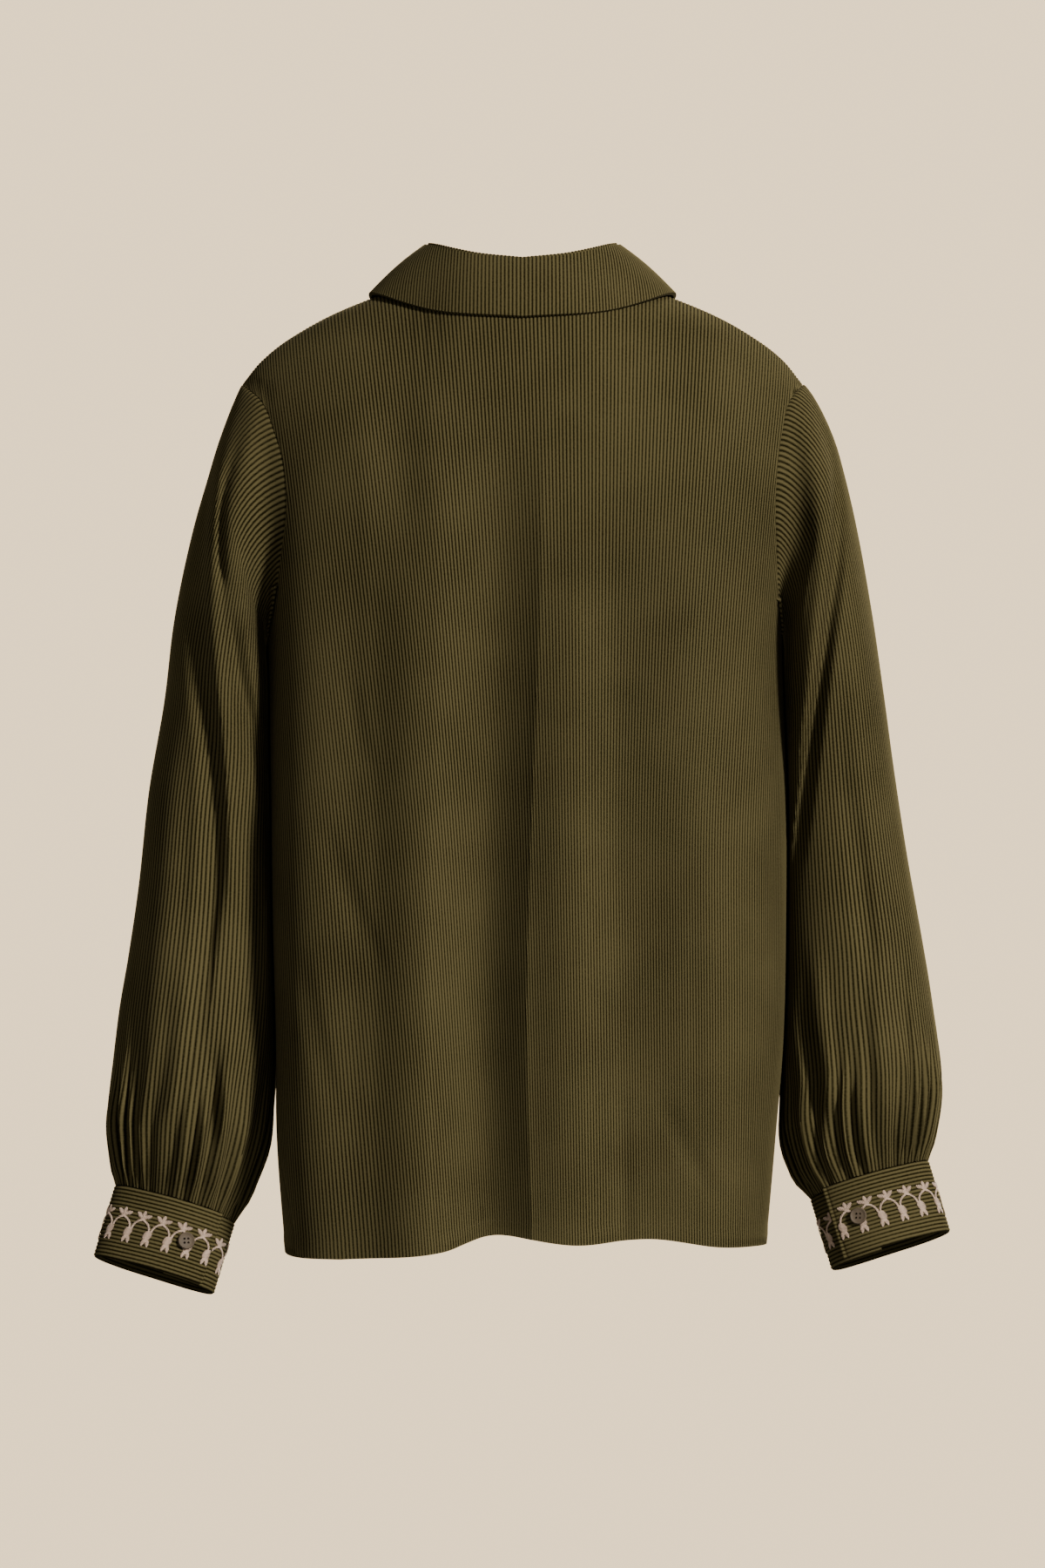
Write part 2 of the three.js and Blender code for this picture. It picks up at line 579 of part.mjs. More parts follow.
/** A sleeve point away from the armhole, with its folds and gathers. */
function sleevePoint(hand, turn, at) {
  const ring = sleeveRing(hand, at);
  const near = Math.sin(2 * Math.PI * turn);
  const drawnIn = mix(1, GATHERS.seam, soft(at, GATHERS.seamFrom, 1));
  const swell = GATHERS.out * soft(at, GATHERS.from, GATHERS.full) * drawnIn;
  const gather = swell * Math.cos(2 * Math.PI * GATHERS.count * turn);
  const lap = lapLift(turn) * soft(at, SLIT.top, SLIT.lapFull);
  const point = ringPoint(ring, turn, gather + lap);
  point.addScaledVector(ring.down, underDrop(hand, turn) * soft(at, SLIT.top, 1));
  const ends = 1 - soft(at, FOLD_CALM.cuff, FOLD_CALM.cuffEnd);
  const calm = soft(at, FOLD_CALM.head, FOLD_CALM.headEnd) * ends;
  const facing = Math.sign(near) * soft(Math.abs(near), FOLD_CALM.side, FOLD_CALM.sideEnd);
  point.y += foldAt(SLEEVE_FOLDS[hand], Math.abs(point.x), point.z) * calm * facing;
  clearOfBody(hand, point);
  return point;
}

/** The armhole seam as a closed loop of spots, by the share turned as on a sleeve ring. */
function armholeLoop(hand) {
  const back = armholeEdge('back', hand).reverse();
  const front = armholeEdge('front', hand);
  return [...back, ...front.slice(1)];
}

/** A spot on the armhole loop, between its points. */
function loopSpot(loop, turn) {
  const place = clamp(turn, 0, 1) * (loop.length - 1);
  const index = Math.min(Math.floor(place), loop.length - 2);
  const share = place - index;
  const point = loop[index].point.clone().lerp(loop[index + 1].point, share);
  const normal = loop[index].normal.clone().lerp(loop[index + 1].normal, share).normalize();
  return { point, normal };
}

/** A sleeve: a tube from the armhole seam to the cuff, open at its slit. */
function makeSleeve(hand) {
  const loop = armholeLoop(hand);
  const rows = GRID.sleeveRows;
  const slitRow = Math.ceil(SLIT.top * rows);
  const surface = (turn, at) => {
    const away = sleevePoint(hand, turn, at);
    const seam = loopSpot(loop, turn - Math.floor(turn)).point;
    return seam.lerp(away, soft(at, SLEEVE_HEAD.from, SLEEVE_HEAD.to));
  };
  const outward = (at) => (point) => point.clone().sub(sleeveRing(hand, at).middle);
  const outer = [];
  const inner = [];
  const index = new Map();
  const put = (key, point, normal) => {
    index.set(key, outer.length);
    outer.push(point);
    inner.push(point.clone().addScaledVector(normal, -CLOTH));
  };
  for (let row = 0; row <= rows; row += 1) {
    const at = row / rows;
    for (let column = 0; column < SLEEVE_COLUMNS; column += 1) {
      const turn = column / SLEEVE_COLUMNS;
      const normal = normalOf(surface, turn, Math.min(at, 0.998), outward(at));
      if (row === 0) {
        const seam = loopSpot(loop, turn);
        const away = surface(turn, 1 / rows).sub(seam.point);
        away.addScaledVector(seam.normal, -away.dot(seam.normal)).normalize();
        put(`${column},0`, seam.point.addScaledVector(away, SEAM_STEP), seam.normal);
        continue;
      }
      const point = surface(turn, at);
      if (column !== CUFF.slitColumn || row < slitRow) {
        put(`${column},${row}`, point, normal);
        continue;
      }
      const open = mix(SLIT.topGap, SLIT.bottomGap, (row - slitRow) / (rows - slitRow));
      const along = surface(turn + 1e-3, at).sub(point).normalize();
      const under = surface(turn - 1e-4, at);
      put(`${column},${row}`, point.clone().addScaledVector(along, open / 2), normal);
      put(`under,${row}`, under.addScaledVector(along, -open / 2), normal);
    }
  }
  const quads = [];
  for (let row = 0; row < rows; row += 1) {
    for (let column = 0; column < SLEEVE_COLUMNS; column += 1) {
      const next = (column + 1) % SLEEVE_COLUMNS;
      const corner = (place, line) => {
        const under = next === CUFF.slitColumn && place === next && line >= slitRow;
        return index.get(under ? `under,${line}` : `${place},${line}`);
      };
      const below = row + 1;
      const quad = [corner(column, row), corner(next, row), corner(next, below), corner(column, below)];
      quads.push(hand === 'left' ? quad : quad.reverse());
    }
  }
  return addPiece(`sleeve_${hand}`, closeWall(outer, inner, quads), 'corduroy');
}

/** The strip that binds a sleeve slit: it lies inside, behind the slit. */
function makeSlitStrip(hand) {
  const columns = 4;
  const rows = 6;
  const plain = (turn, at) => {
    const ring = sleeveRing(hand, at);
    const drop = UNDER_LAP_DROP[hand] * soft(at, SLIT.top, 1);
    return ringPoint(ring, turn, -GATHERS.out).addScaledVector(ring.down, drop);
  };
  const grid = [];
  for (let row = 0; row < rows; row += 1) {
    const at = mix(SLIT_STRIP.top, SLIT_STRIP.bottom, row / (rows - 1));
    for (let column = 0; column < columns; column += 1) {
      const turn = mix(SLIT_STRIP.from, SLIT_STRIP.to, column / (columns - 1));
      const normal = normalOf(plain, turn, at, (point) => point.clone().sub(sleeveRing(hand, at).middle));
      grid.push({ point: plain(turn, at).addScaledVector(normal, -STRIP_INSIDE[hand]), normal });
    }
  }
  return addPiece(`slit_strip_${hand}`, panelGeometry(grid, columns, rows, CLOTH), 'corduroy');
}

/** A point of a cuff: `round` runs from the upper lap's end (0) to the under lap's end (1). */
function cuffPoint(hand, round, down) {
  const ring = sleeveRing(hand, 1);
  const whole = 1 + LAP_SHARE;
  const turn = SLIT_TURN + round * whole;
  const lift = round < 0.5 ? lapLift(turn) : 0;
  const point = ringPoint(ring, turn, CUFF.proud + lift);
  return point.addScaledVector(ring.down, CUFF.below + down * CUFF.high + underDrop(hand, turn));
}

/** A cuff point and its normal. */
function cuffSpot(hand, round, down) {
  const middle = sleeveRing(hand, 1).middle;
  const surface = (u, v) => cuffPoint(hand, u, v);
  const outward = (point) => point.clone().sub(middle).setZ(0);
  const normal = normalOf(surface, Math.min(round, 0.998), down, outward);
  return { point: surface(round, down), normal };
}

/** A cuff: a double band round the wrist. */
function makeCuff(hand) {
  const columns = SLEEVE_COLUMNS + CUFF.lapColumns + 1;
  const rows = 2;
  const grid = [];
  for (let row = 0; row < rows; row += 1) {
    for (let column = 0; column < columns; column += 1) {
      grid.push(cuffSpot(hand, column / (columns - 1), row / (rows - 1)));
    }
  }
  return addPiece(`cuff_${hand}`, panelGeometry(grid, columns, rows, DOUBLE_CLOTH), 'corduroy');
}

/** The plan round of the neck, by degrees turned from the centre back. */
function neckRound(turn, shrink) {
  const angle = degrees(turn);
  const deep = Math.cos(angle) > 0 ? NECK.back : NECK.front;
  return { x: (NECK.half - shrink) * Math.sin(angle), y: (deep - shrink) * Math.cos(angle) };
}

/** The collar stand: a band from the neck seam up to the fold line, its right end over its left. */
function standPoint(turn, up) {
  const plan = neckRound(turn, STAND.inset + STAND.lean * up);
  const face = Math.abs(turn) < 90 ? 'back' : 'front';
  const low = topLine(face, plan.x).z + SEAM_GAP;
  const high = read(COLLAR_FOLD, 'turn', Math.abs(turn), 'z') - FALL.roll;
  const over = turn < 0 ? STAND.lapLift * soft(-turn, STAND.lapFrom, STAND.lapFull) : 0;
  return new THREE.Vector3(plan.x, plan.y - over, mix(low, high, up));
}

/** Builds a collar piece from a surface by degrees turned and a share across. */
function collarPiece(name, surface, endTurn, rows) {
  const columns = Math.round(2 * endTurn / COLLAR_STEP) + 1;
  const outside = (point) => new THREE.Vector3(point.x, point.y, 0);
  const grid = [];
  for (let row = 0; row < rows; row += 1) {
    for (let column = 0; column < columns; column += 1) {
      const turn = mix(-endTurn, endTurn, column / (columns - 1));
      const share = row / (rows - 1);
      const stepped = (u, v) => surface(u * 100, v);
      grid.push({
        point: surface(turn, share),
        normal: normalOf(stepped, turn / 100, clamp(share, 0.02, 0.98), outside),
      });
    }
  }
  return addPiece(name, panelGeometry(grid, columns, rows, DOUBLE_CLOTH), 'corduroy');
}

/** 1 where the fall lies over the shoulder seam, 0 at the centre back and on the chest. */
const onShoulder = (turn) => 1 - soft(Math.abs(Math.abs(turn) - 90), ON_SHOULDER.full, ON_SHOULDER.end);

/** The outer edge of the fall, lying just off the body. */
function fallEdge(turn) {
  const hand = turn < 0 ? 'right' : 'left';
  const face = Math.abs(turn) <= 90 ? 'back' : 'front';
  const x = HAND[hand] * read(FALL_EDGE, 'turn', Math.abs(turn), 'x');
  const z = read(FALL_EDGE, 'turn', Math.abs(turn), 'z');
  const y = bodyY(face, hand, x, z);
  const over = onShoulder(turn);
  const away = (face === 'back' ? 1 : -1) * FALL.clear * (1 - over / 2);
  const offSeam = soft(Math.abs(Math.abs(turn) - 90), 0, ON_SHOULDER.seam);
  return new THREE.Vector3(x, y + away * offSeam, z + FALL.clear * over);
}

/** The collar fall: it starts at the stand's top, rolls over the fold line and comes down outside. */
function fallPoint(turn, share) {
  const foldZ = read(COLLAR_FOLD, 'turn', Math.abs(turn), 'z');
  const inner = neckRound(turn, STAND.inset + STAND.lean);
  const crest = neckRound(turn, -FALL.crest);
  const start = new THREE.Vector3(inner.x, inner.y, foldZ - FALL.roll + SEAM_GAP);
  const top = new THREE.Vector3(crest.x, crest.y, foldZ);
  if (share <= FALL.rollShare) return start.lerp(top, share / FALL.rollShare);
  const down = (share - FALL.rollShare) / (1 - FALL.rollShare);
  const bulge = mix(FALL.bulge, FALL.sideBulge, onShoulder(turn)) * Math.sin(Math.PI * down);
  return top.lerp(fallEdge(turn), down).addScaledVector(new THREE.Vector3(0, 0, 1), bulge);
}

/** A button's solid, its face outwards, before it is placed. */
function buttonGeometry() {
  const { radius, foot, crown, thick, rim, dish } = BUTTON;
  const profile = [
    new THREE.Vector2(0, 0),
    new THREE.Vector2(foot, 0),
    new THREE.Vector2(radius, thick / 2),
    new THREE.Vector2(crown, thick),
    new THREE.Vector2(radius - rim, thick - dish),
    new THREE.Vector2(0, thick - dish),
  ];
  return new THREE.LatheGeometry(profile, BUTTON_SIDES);
}

/** Places a button on a spot of cloth, just clear of it. */
function addButton(name, spot) {
  const button = addPiece(name, buttonGeometry(), 'button');
  button.quaternion.setFromUnitVectors(new THREE.Vector3(0, 1, 0), spot.normal);
  button.position.copy(spot.point).addScaledVector(spot.normal, BUTTON.clear);
  return button;
}

/** The buttons down the front, on the upper front's centre line. */
function addFrontButtons() {
  const surface = (x, z) => {
    const y = bodyY('front', 'right', x, z) + bodyFold('front', 'right', x, z);
    return new THREE.Vector3(x, y, z);
  };
  for (let count = 0; count < FRONT_BUTTONS.count; count += 1) {
    const z = FRONT_BUTTONS.firstZ - count * FRONT_BUTTONS.pitch;
    const normal = normalOf(surface, 0, z, outFromMiddle);
    addButton(`front_button_${count + 1}`, { point: surface(0, z), normal });
  }
}

makeBack();
makeFront('left');
makeFront('right');
for (const hand of Object.keys(HAND)) {
  makeSleeve(hand);
  makeSlitStrip(hand);
  makeCuff(hand);
  addButton(`cuff_button_${hand}`, cuffSpot(hand, CUFF_BUTTON.round, CUFF_BUTTON.down));
}
addFrontButtons();
collarPiece('collar_stand', standPoint, STAND.endTurn, 3);
collarPiece('collar_fall', fallPoint, FALL.endTurn, 6);

export default root;
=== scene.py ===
"""Dresses the solids of a corduroy shirt: waled cloth with its folds, sewing, buttons and light."""

import logging
import math
from collections.abc import Callable, Iterable
from dataclasses import dataclass
from enum import Enum

import bmesh
import bpy
import numpy as np
from mathutils import Matrix, Vector


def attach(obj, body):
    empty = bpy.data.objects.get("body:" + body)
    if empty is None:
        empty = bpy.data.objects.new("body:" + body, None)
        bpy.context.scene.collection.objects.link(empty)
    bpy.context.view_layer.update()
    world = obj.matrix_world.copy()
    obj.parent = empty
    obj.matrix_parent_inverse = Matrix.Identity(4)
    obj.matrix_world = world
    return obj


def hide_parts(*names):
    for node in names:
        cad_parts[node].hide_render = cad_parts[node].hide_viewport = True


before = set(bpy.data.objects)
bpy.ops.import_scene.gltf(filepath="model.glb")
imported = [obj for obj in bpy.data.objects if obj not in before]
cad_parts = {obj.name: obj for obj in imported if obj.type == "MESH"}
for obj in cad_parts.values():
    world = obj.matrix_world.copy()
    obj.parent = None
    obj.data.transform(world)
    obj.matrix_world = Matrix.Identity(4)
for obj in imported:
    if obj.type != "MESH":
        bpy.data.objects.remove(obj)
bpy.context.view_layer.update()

Array = np.ndarray
Colour = tuple[float, float, float]
Surface = Callable[[Array, Array], Array]

log = logging.getLogger("shirt")

MM = 0.001

# Cloth sizes in millimetres, as the solids have them
CLOTH = 1.6
DOUBLE_CLOTH = 2.6
SEAM_TRIM = 0.15
WALE = 2.7
CUFF_WALE = 2.7
WALE_HIGH = 0.5

# The body's main sizes
UNDERARM_Z = -237.0
HEM_Z = -649.0
SHOULDER_TIP_X = 193.0
NECK_HALF, NECK_BACK, NECK_FRONT = 66.0, 58.0, 62.0
NECK_BACK_Z, NECK_SIDE_Z, NECK_FRONT_Z = 2.0, 10.0, -48.0
SQUARENESS = 2.4
ROUND_ASPECT = 0.62
FRONT_LAP = 12.0
FRONT_UNDER_TO, FRONT_UNDER_FROM = 16.0, 46.0
SIDE_CALM = 0.9
ROW_CROWDING = 1.8

# How much of a panel's half is trimmed off at its seam, and how near its ends slopes are measured
SEAM_TRIM_SHARE = SEAM_TRIM / 240
PANEL_END_U, PANEL_END_V, SLOPE_STEP = 0.01, 0.005, 1e-3

# The hem: how deep it is, how far it stands out, and the line drawn in by its sewing
HEM_WIDE, HEM_OUT, HEM_SOFT = 10.0, 0.5, 1.5
HEM_DRAWN, HEM_DRAWN_WIDE = 0.7, 2.2

# How steeply a fold with a crisp edge falls off on that side
CRISP_POWER = 1.7


class Hand(Enum):
    """The wearer's side, with the sign of its X."""

    LEFT = 1
    RIGHT = -1

    @property
    def word(self) -> str:
        """The side as a word in piece names."""
        return self.name.lower()


class Face(Enum):
    """The back or the front of the body, with the sign of its Y."""

    BACK = 1
    FRONT = -1

    @property
    def word(self) -> str:
        """The face as a column name."""
        return self.name.lower()


class Table:
    """Rows of named columns, read between the rows on one smooth curve."""

    def __init__(self, names: str, rows: list[tuple[float, ...]]) -> None:
        """Keeps the rows in rising order of their first column.

        Args:
            names: the column names, with spaces between.
            rows: one tuple of numbers for each row.
        """
        words = names.split()
        self.columns = dict(zip(words, np.array(sorted(rows), float).T))
        self.keys = self.columns[words[0]]

    def read(self, name: str, at: Array) -> Array:
        """Reads a column.

        Args:
            name: the column's name.
            at: places along the first column.

        Returns:
            The column's value at each place.
        """
        keys, values = self.keys, self.columns[name]
        place = np.clip(np.asarray(at, float), keys[0], keys[-1])
        index = np.clip(np.searchsorted(keys, place, side="right") - 1, 0, len(keys) - 2)
        slopes = np.diff(values) / np.diff(keys)
        inner = (slopes[:-1] + slopes[1:]) / 2
        tangents = np.concatenate([slopes[:1], inner, slopes[-1:]])
        span = keys[index + 1] - keys[index]
        share = (place - keys[index]) / span
        square, cube = share**2, share**3
        start = (2 * cube - 3 * square + 1) * values[index]
        leave = (cube - 2 * square + share) * span * tangents[index]
        arrive = (cube - square) * span * tangents[index + 1]
        return start + leave + (3 * square - 2 * cube) * values[index + 1] + arrive


BODY = Table(
    "z left right back front",
    [
        (20, 201, 204, 100, 96),
        (-60, 200, 203, 104, 100),
        (-110, 188, 194, 109, 110),
        (-150, 181, 187, 112, 119),
        (UNDERARM_Z, 175, 179, 110, 121),
        (-340, 173, 182, 105, 112),
        (-430, 172, 182, 103, 106),
        (-510, 170, 180, 104, 106),
        (-580, 169, 174, 107, 109),
        (-660, 163, 167, 111, 113),
    ],
)
SHOULDER = Table("x z", [(NECK_HALF, NECK_SIDE_Z), (105, -2), (150, -23), (180, -45), (193, -61)])
ARMHOLE = Table(
    "z left right scoop",
    [
        (-61, 193, 193, 0),
        (-72, 180, 184, 2),
        (-94, 170, 178, 6),
        (-113, 164, 175, 9),
        (-146, 161, 173, 10),
        (-181, 165, 174, 7),
        (-215, 170, 176, 2),
        (UNDERARM_Z, 175, 179, 0),
    ],
)
BACK_HEM = Table(
    "x z",
    [(-168, -652), (-134, -651), (-89, -645), (-36, -648), (25, -642), (68, -653), (148, -659)],
)
SHOULDER_ROUND = {Face.BACK: 150.0, Face.FRONT: 145.0}
SIDE_SWING_SHARE, SIDE_SWING_FROM, SIDE_SWING_TO = 0.2, 530.0, 650.0


@dataclass(frozen=True)
class Fold:
    """A soft trough or ridge in the cloth, along a smooth path seen from behind.

    Args:
        path: places (x, z) from its upper end to its lower end, each with how far it stands out
            of the cloth there, below 0 for a trough.
        left: how far it reaches towards +X, or outwards on a sleeve.
        right: how far it reaches towards -X, or inwards on a sleeve.
        ends: the shares of its length over which it grows in and ends.
        crisp: how much of its right side ends in a crisp edge, from 0 to 1.
    """

    path: tuple[tuple[float, float, float], ...]
    left: float
    right: float
    ends: tuple[float, float] = (0.2, 0.2)
    crisp: float = 0.0

    def push(self, x: Array, z: Array) -> Array:
        """How far the fold moves the cloth at each place."""
        line = Table("z x out", [(height, side, out) for side, height, out in self.path])
        top, bottom = self.path[0][1], self.path[-1][1]
        share = (top - z) / (top - bottom)
        fade = soft(share, 0, self.ends[0]) * soft(1 - share, 0, self.ends[1])
        across = x - line.read("x", z)
        part = np.minimum(1, np.abs(across) / np.where(across > 0, self.left, self.right))
        rounded = (1 - part**2) ** 2
        shape = mix(rounded, 1 - part**CRISP_POWER, self.crisp * (across < 0))
        return line.read("out", z) * shape * fade


# A fold that runs to the hem ends past it
BACK_FOLDS = [
    Fold(
        (
            (16, -50, -3),
            (18, -150, -9),
            (20, -240, -12),
            (24, -340, -15),
            (27, -420, -17),
            (28, -520, -18),
            (26, -600, -17),
            (20, -760, -16),
        ),
        40,
        31,
        (0.15, 0.01),
        0.75,
    ),
    Fold(((-34, -110, 3), (-32, -250, 5), (-31, -420, 6), (-33, -760, 6)), 30, 34, (0.3, 0.01)),
    Fold(((70, -80, 3), (72, -220, 5), (73, -420, 6), (74, -760, 6)), 30, 32, (0.3, 0.01)),
    Fold(((88, -15, -2), (84, -110, -4), (80, -240, -2)), 28, 24, (0.5, 0.5)),
    Fold(
        ((-58, -60, -4), (-62, -180, -8), (-66, -312, -11), (-69, -492, -13), (-73, -760, -13)),
        30,
        58,
        (0.25, 0.01),
    ),
    Fold(((-128, -280, 2), (-136, -420, 4), (-142, -760, 4)), 24, 22, (0.4, 0.01)),
    Fold(((164, -60, 4), (165, -200, 10), (164, -400, 13), (162, -760, 13)), 40, 54, (0.25, 0.01)),
    Fold(((-160, -190, -1), (-148, -250, -2), (-134, -320, -1)), 10, 9, (0.3, 0.4)),
    Fold(((142, -350, -1), (118, -410, -1.6), (88, -480, -1)), 15, 11, (0.3, 0.3)),
    Fold(((154, -440, -1), (142, -500, -1.6), (124, -570, -1)), 13, 10, (0.3, 0.3)),
    Fold(((121, -255, -1), (101, -345, -1)), 11, 10, (0.4, 0.4)),
    Fold(((-88, -540, -1), (-110, -585, -1.8), (-138, -630, -1)), 11, 13, (0.3, 0.3)),
    Fold(((48, -420, 1.5), (52, -540, 2.5), (50, -760, 2)), 9, 9, (0.4, 0.01)),
    Fold(((-62, -500, -1), (-66, -600, -2), (-68, -760, -2)), 14, 12, (0.4, 0.01)),
]
FRONT_FOLDS = [
    Fold(((72, -120, 3), (78, -320, 6), (84, -760, 6)), 34, 26, (0.3, 0.01)),
    Fold(((46, -180, -3), (45, -360, -7), (44, -760, -8)), 26, 24, (0.3, 0.01)),
    Fold(((118, -200, -3), (124, -400, -6), (126, -760, -7)), 26, 30, (0.35, 0.01)),
    Fold(((-70, -130, 3), (-74, -340, 6), (-80, -760, 6)), 30, 32, (0.3, 0.01)),
    Fold(((-110, -160, -3), (-114, -380, -7), (-120, -760, -7)), 28, 26, (0.35, 0.01)),
    Fold(((-38, -220, -3), (-40, -400, -5), (-42, -760, -6)), 22, 24, (0.3, 0.01)),
    Fold(((150, -330, -2), (132, -400, -3), (112, -450, -2)), 12, 9, (0.3, 0.3)),
    Fold(((-152, -280, -2), (-136, -350, -3), (-118, -410, -2)), 9, 12, (0.3, 0.3)),
    Fold(((-60, -520, -2), (-92, -600, -3)), 10, 9, (0.4, 0.3)),
    Fold(((62, -470, 2), (64, -760, 3)), 10, 9, (0.5, 0.01)),
]

RING_NAMES = "at outX outZ inX inZ back front shift lift"
SLEEVE_RINGS = {
    Hand.LEFT: Table(
        RING_NAMES,
        [
            (0.00, 195, -61, 178, -238, 50, 50, 0, 0),
            (0.06, 206, -90, 176, -245, 62, 62, -3, 0),
            (0.12, 216, -123, 172, -256, 68, 68, -6, 0),
            (0.19, 227, -161, 170, -271, 70, 70, -9, 0),
            (0.30, 240, -222, 170, -302, 68, 68, -13, 0),
            (0.40, 247, -278, 167, -338, 64, 66, -16, 0),
            (0.52, 258, -342, 166, -385, 60, 64, -18, 0),
            (0.63, 265, -406, 165, -432, 60, 64, -19, 0),
            (0.72, 272, -454, 165, -472, 62, 64, -19, 1),
            (0.80, 279, -496, 166, -510, 62, 62, -18, 3),
            (0.88, 284, -544, 171, -554, 58, 56, -15, 6),
            (0.93, 286, -572, 177, -585, 50, 48, -12, 8),
            (0.965, 283, -595, 187, -612, 38, 36, -10, 10),
            (1.00, 280, -613, 199, -637, 22, 22, -8, 12),
        ],
    ),
    Hand.RIGHT: Table(
        RING_NAMES,
        [
            (0.00, 198, -56, 182, -238, 50, 50, 0, 0),
            (0.06, 211, -86, 178, -245, 62, 62, -3, 0),
            (0.12, 221, -120, 175, -256, 68, 68, -6, 0),
            (0.19, 230, -158, 174.5, -271, 70, 70, -9, 0),
            (0.30, 241, -218, 176, -302, 68, 68, -13, 0),
            (0.40, 249, -272, 175, -336, 64, 66, -16, 0),
            (0.52, 257, -330, 175, -380, 60, 64, -18, 0),
            (0.63, 266, -388, 175, -424, 60, 64, -19, 0),
            (0.72, 275, -438, 175, -464, 62, 64, -19, 1),
            (0.80, 282, -480, 174, -502, 62, 62, -18, 3),
            (0.88, 288, -528, 177, -548, 58, 56, -15, 6),
            (0.93, 288, -553, 179, -578, 50, 48, -12, 8),
            (0.965, 284, -576, 187, -602, 38, 36, -10, 10),
            (1.00, 279, -596, 199, -620, 22, 22, -8, 12),
        ],
    ),
}
SLEEVE_SQUARENESS = 2.15
VALLEY = {
    Hand.LEFT: (
        (187, -105, -2),
        (185, -150, -9),
        (182, -183, -14),
        (180, -213, -17),
        (178, -240, -16),
        (175, -262, -14),
        (173, -300, -11),
        (172, -430, -6),
    ),
    Hand.RIGHT: (
        (194, -85, -2),
        (195, -115, -6),
        (194, -145, -10),
        (191, -175, -14),
        (186, -198, -16),
        (183, -220, -16),
        (182, -240, -15),
        (180, -262, -12),
        (178, -330, -6),
    ),
}
SLEEVE_FOLDS = {
    Hand.LEFT: [
        Fold(VALLEY[Hand.LEFT], 10, 11, (0.1, 0.2)),
        Fold(
            (
                (197, -66, -2),
                (206, -90, -6),
                (212, -108, -8),
                (217, -140, -10),
                (220, -183, -10),
                (220, -213, -10),
                (218, -245, -10),
                (212, -295, -9),
                (209, -325, -9),
                (208, -381, -8),
                (214, -456, -6),
                (221, -530, -3),
            ),
            17,
            5,
            (0.06, 0.2),
        ),
        Fold(
            (
                (192, -66, 1),
                (199, -95, 3),
                (206, -125, 4),
                (211, -170, 4),
                (212, -213, 4),
                (208, -265, 4),
                (202, -325, 4),
                (200, -390, 4),
                (206, -470, 2),
            ),
            5,
            9,
            (0.1, 0.2),
        ),
        Fold(((197, -64, -1), (203, -123, -6), (206, -170, -6), (204, -212, -3)), 5, 4, (0.2, 0.2)),
        Fold(((193, -76, 1), (198, -130, 3), (200, -170, 3), (199, -205, 2)), 5, 10, (0.2, 0.2)),
        Fold(
            ((199, -215, -2), (195, -255, -5), (189, -285, -7), (184, -306, -7), (177, -372, -4)),
            4,
            9,
            (0.15, 0.3),
        ),
        Fold(((240, -250, 2), (246, -400, 4), (254, -560, 3)), 16, 16, (0.4, 0.2)),
        Fold(((262, -400, -2), (266, -500, -4), (266, -600, -3)), 8, 10, (0.4, 0.1)),
        Fold(((233, -430, 2), (234, -520, 4), (240, -580, 3)), 12, 11, (0.4, 0.2)),
        Fold(((198, -490, 2), (197, -540, 5), (203, -590, 3)), 14, 10, (0.3, 0.2)),
        Fold(((218, -500, -2), (212, -550, -5), (214, -600, -3)), 7, 9, (0.4, 0.1)),
        Fold(((186, -330, -4), (184, -440, -6), (186, -530, -5)), 9, 12, (0.3, 0.2)),
    ],
    Hand.RIGHT: [
        Fold(VALLEY[Hand.RIGHT], 9, 10, (0.1, 0.25)),
        Fold(
            (
                (200, -60, -2),
                (207, -81, -5),
                (212, -105, -8),
                (214, -144, -9),
                (214, -168, -9),
                (212, -195, -9),
                (207, -235, -10),
                (203, -265, -10),
                (197, -310, -9),
                (189, -372, -6),
                (183, -420, -3),
            ),
            9,
            4,
            (0.06, 0.2),
        ),
        Fold(
            (
                (196, -66, 1),
                (203, -100, 3),
                (206, -140, 3),
                (205, -180, 4),
                (201, -216, 4),
                (197, -245, 4),
                (191, -290, 4),
                (184, -350, 2),
            ),
            5,
            9,
            (0.15, 0.2),
        ),
        Fold(((226, -110, 2), (230, -250, 4), (234, -430, 3)), 16, 14, (0.3, 0.3)),
        Fold(((222, -300, -2), (232, -400, -4), (244, -500, -3)), 9, 12, (0.4, 0.3)),
        Fold(((252, -300, -1.5), (258, -400, -4), (262, -560, -4)), 7, 12, (0.4, 0.1)),
        Fold(((240, -420, 2), (246, -500, 4), (252, -580, 3)), 8, 12, (0.4, 0.1)),
        Fold(((198, -430, 2), (204, -500, 4), (214, -570, 3)), 10, 9, (0.4, 0.2)),
        Fold(((190, -470, -3), (198, -530, -5), (210, -590, -4)), 7, 8, (0.4, 0.1)),
    ],
}
CLEAR_GAP, CLEAR_SOFT, CLEAR_ABOVE, CLEAR_BELOW = 1.8, 6.0, 4.0, 12.0
GATHER_COUNT, GATHER_OUT, GATHER_FROM, GATHER_FULL = 24, 3.0, 0.8, 0.97
GATHER_SEAM, GATHER_SEAM_FROM = 0.35, 0.975
GATHER_SWAY = ((3, 0.34, 0.7), (7, 0.16, 2.1))
GATHER_CHANGE = ((5, 0.4, 1.3), (11, 0.3, 4.0))
GATHER_BEND = (5, 1.3, 14.0)
GATHER_STAGGER = 0.05
SEAM_ALLOWANCE, SEAM_SUNK = 4.0, 0.5
NECK_KINK_STEPS = ((-18, 1 / 16), (-9, 4 / 16), (0, 6 / 16), (9, 4 / 16), (18, 1 / 16))
NECK_KINK_DEEP, NECK_KINK_FROM, NECK_KINK_TO = 24.0, 95.0, 125.0
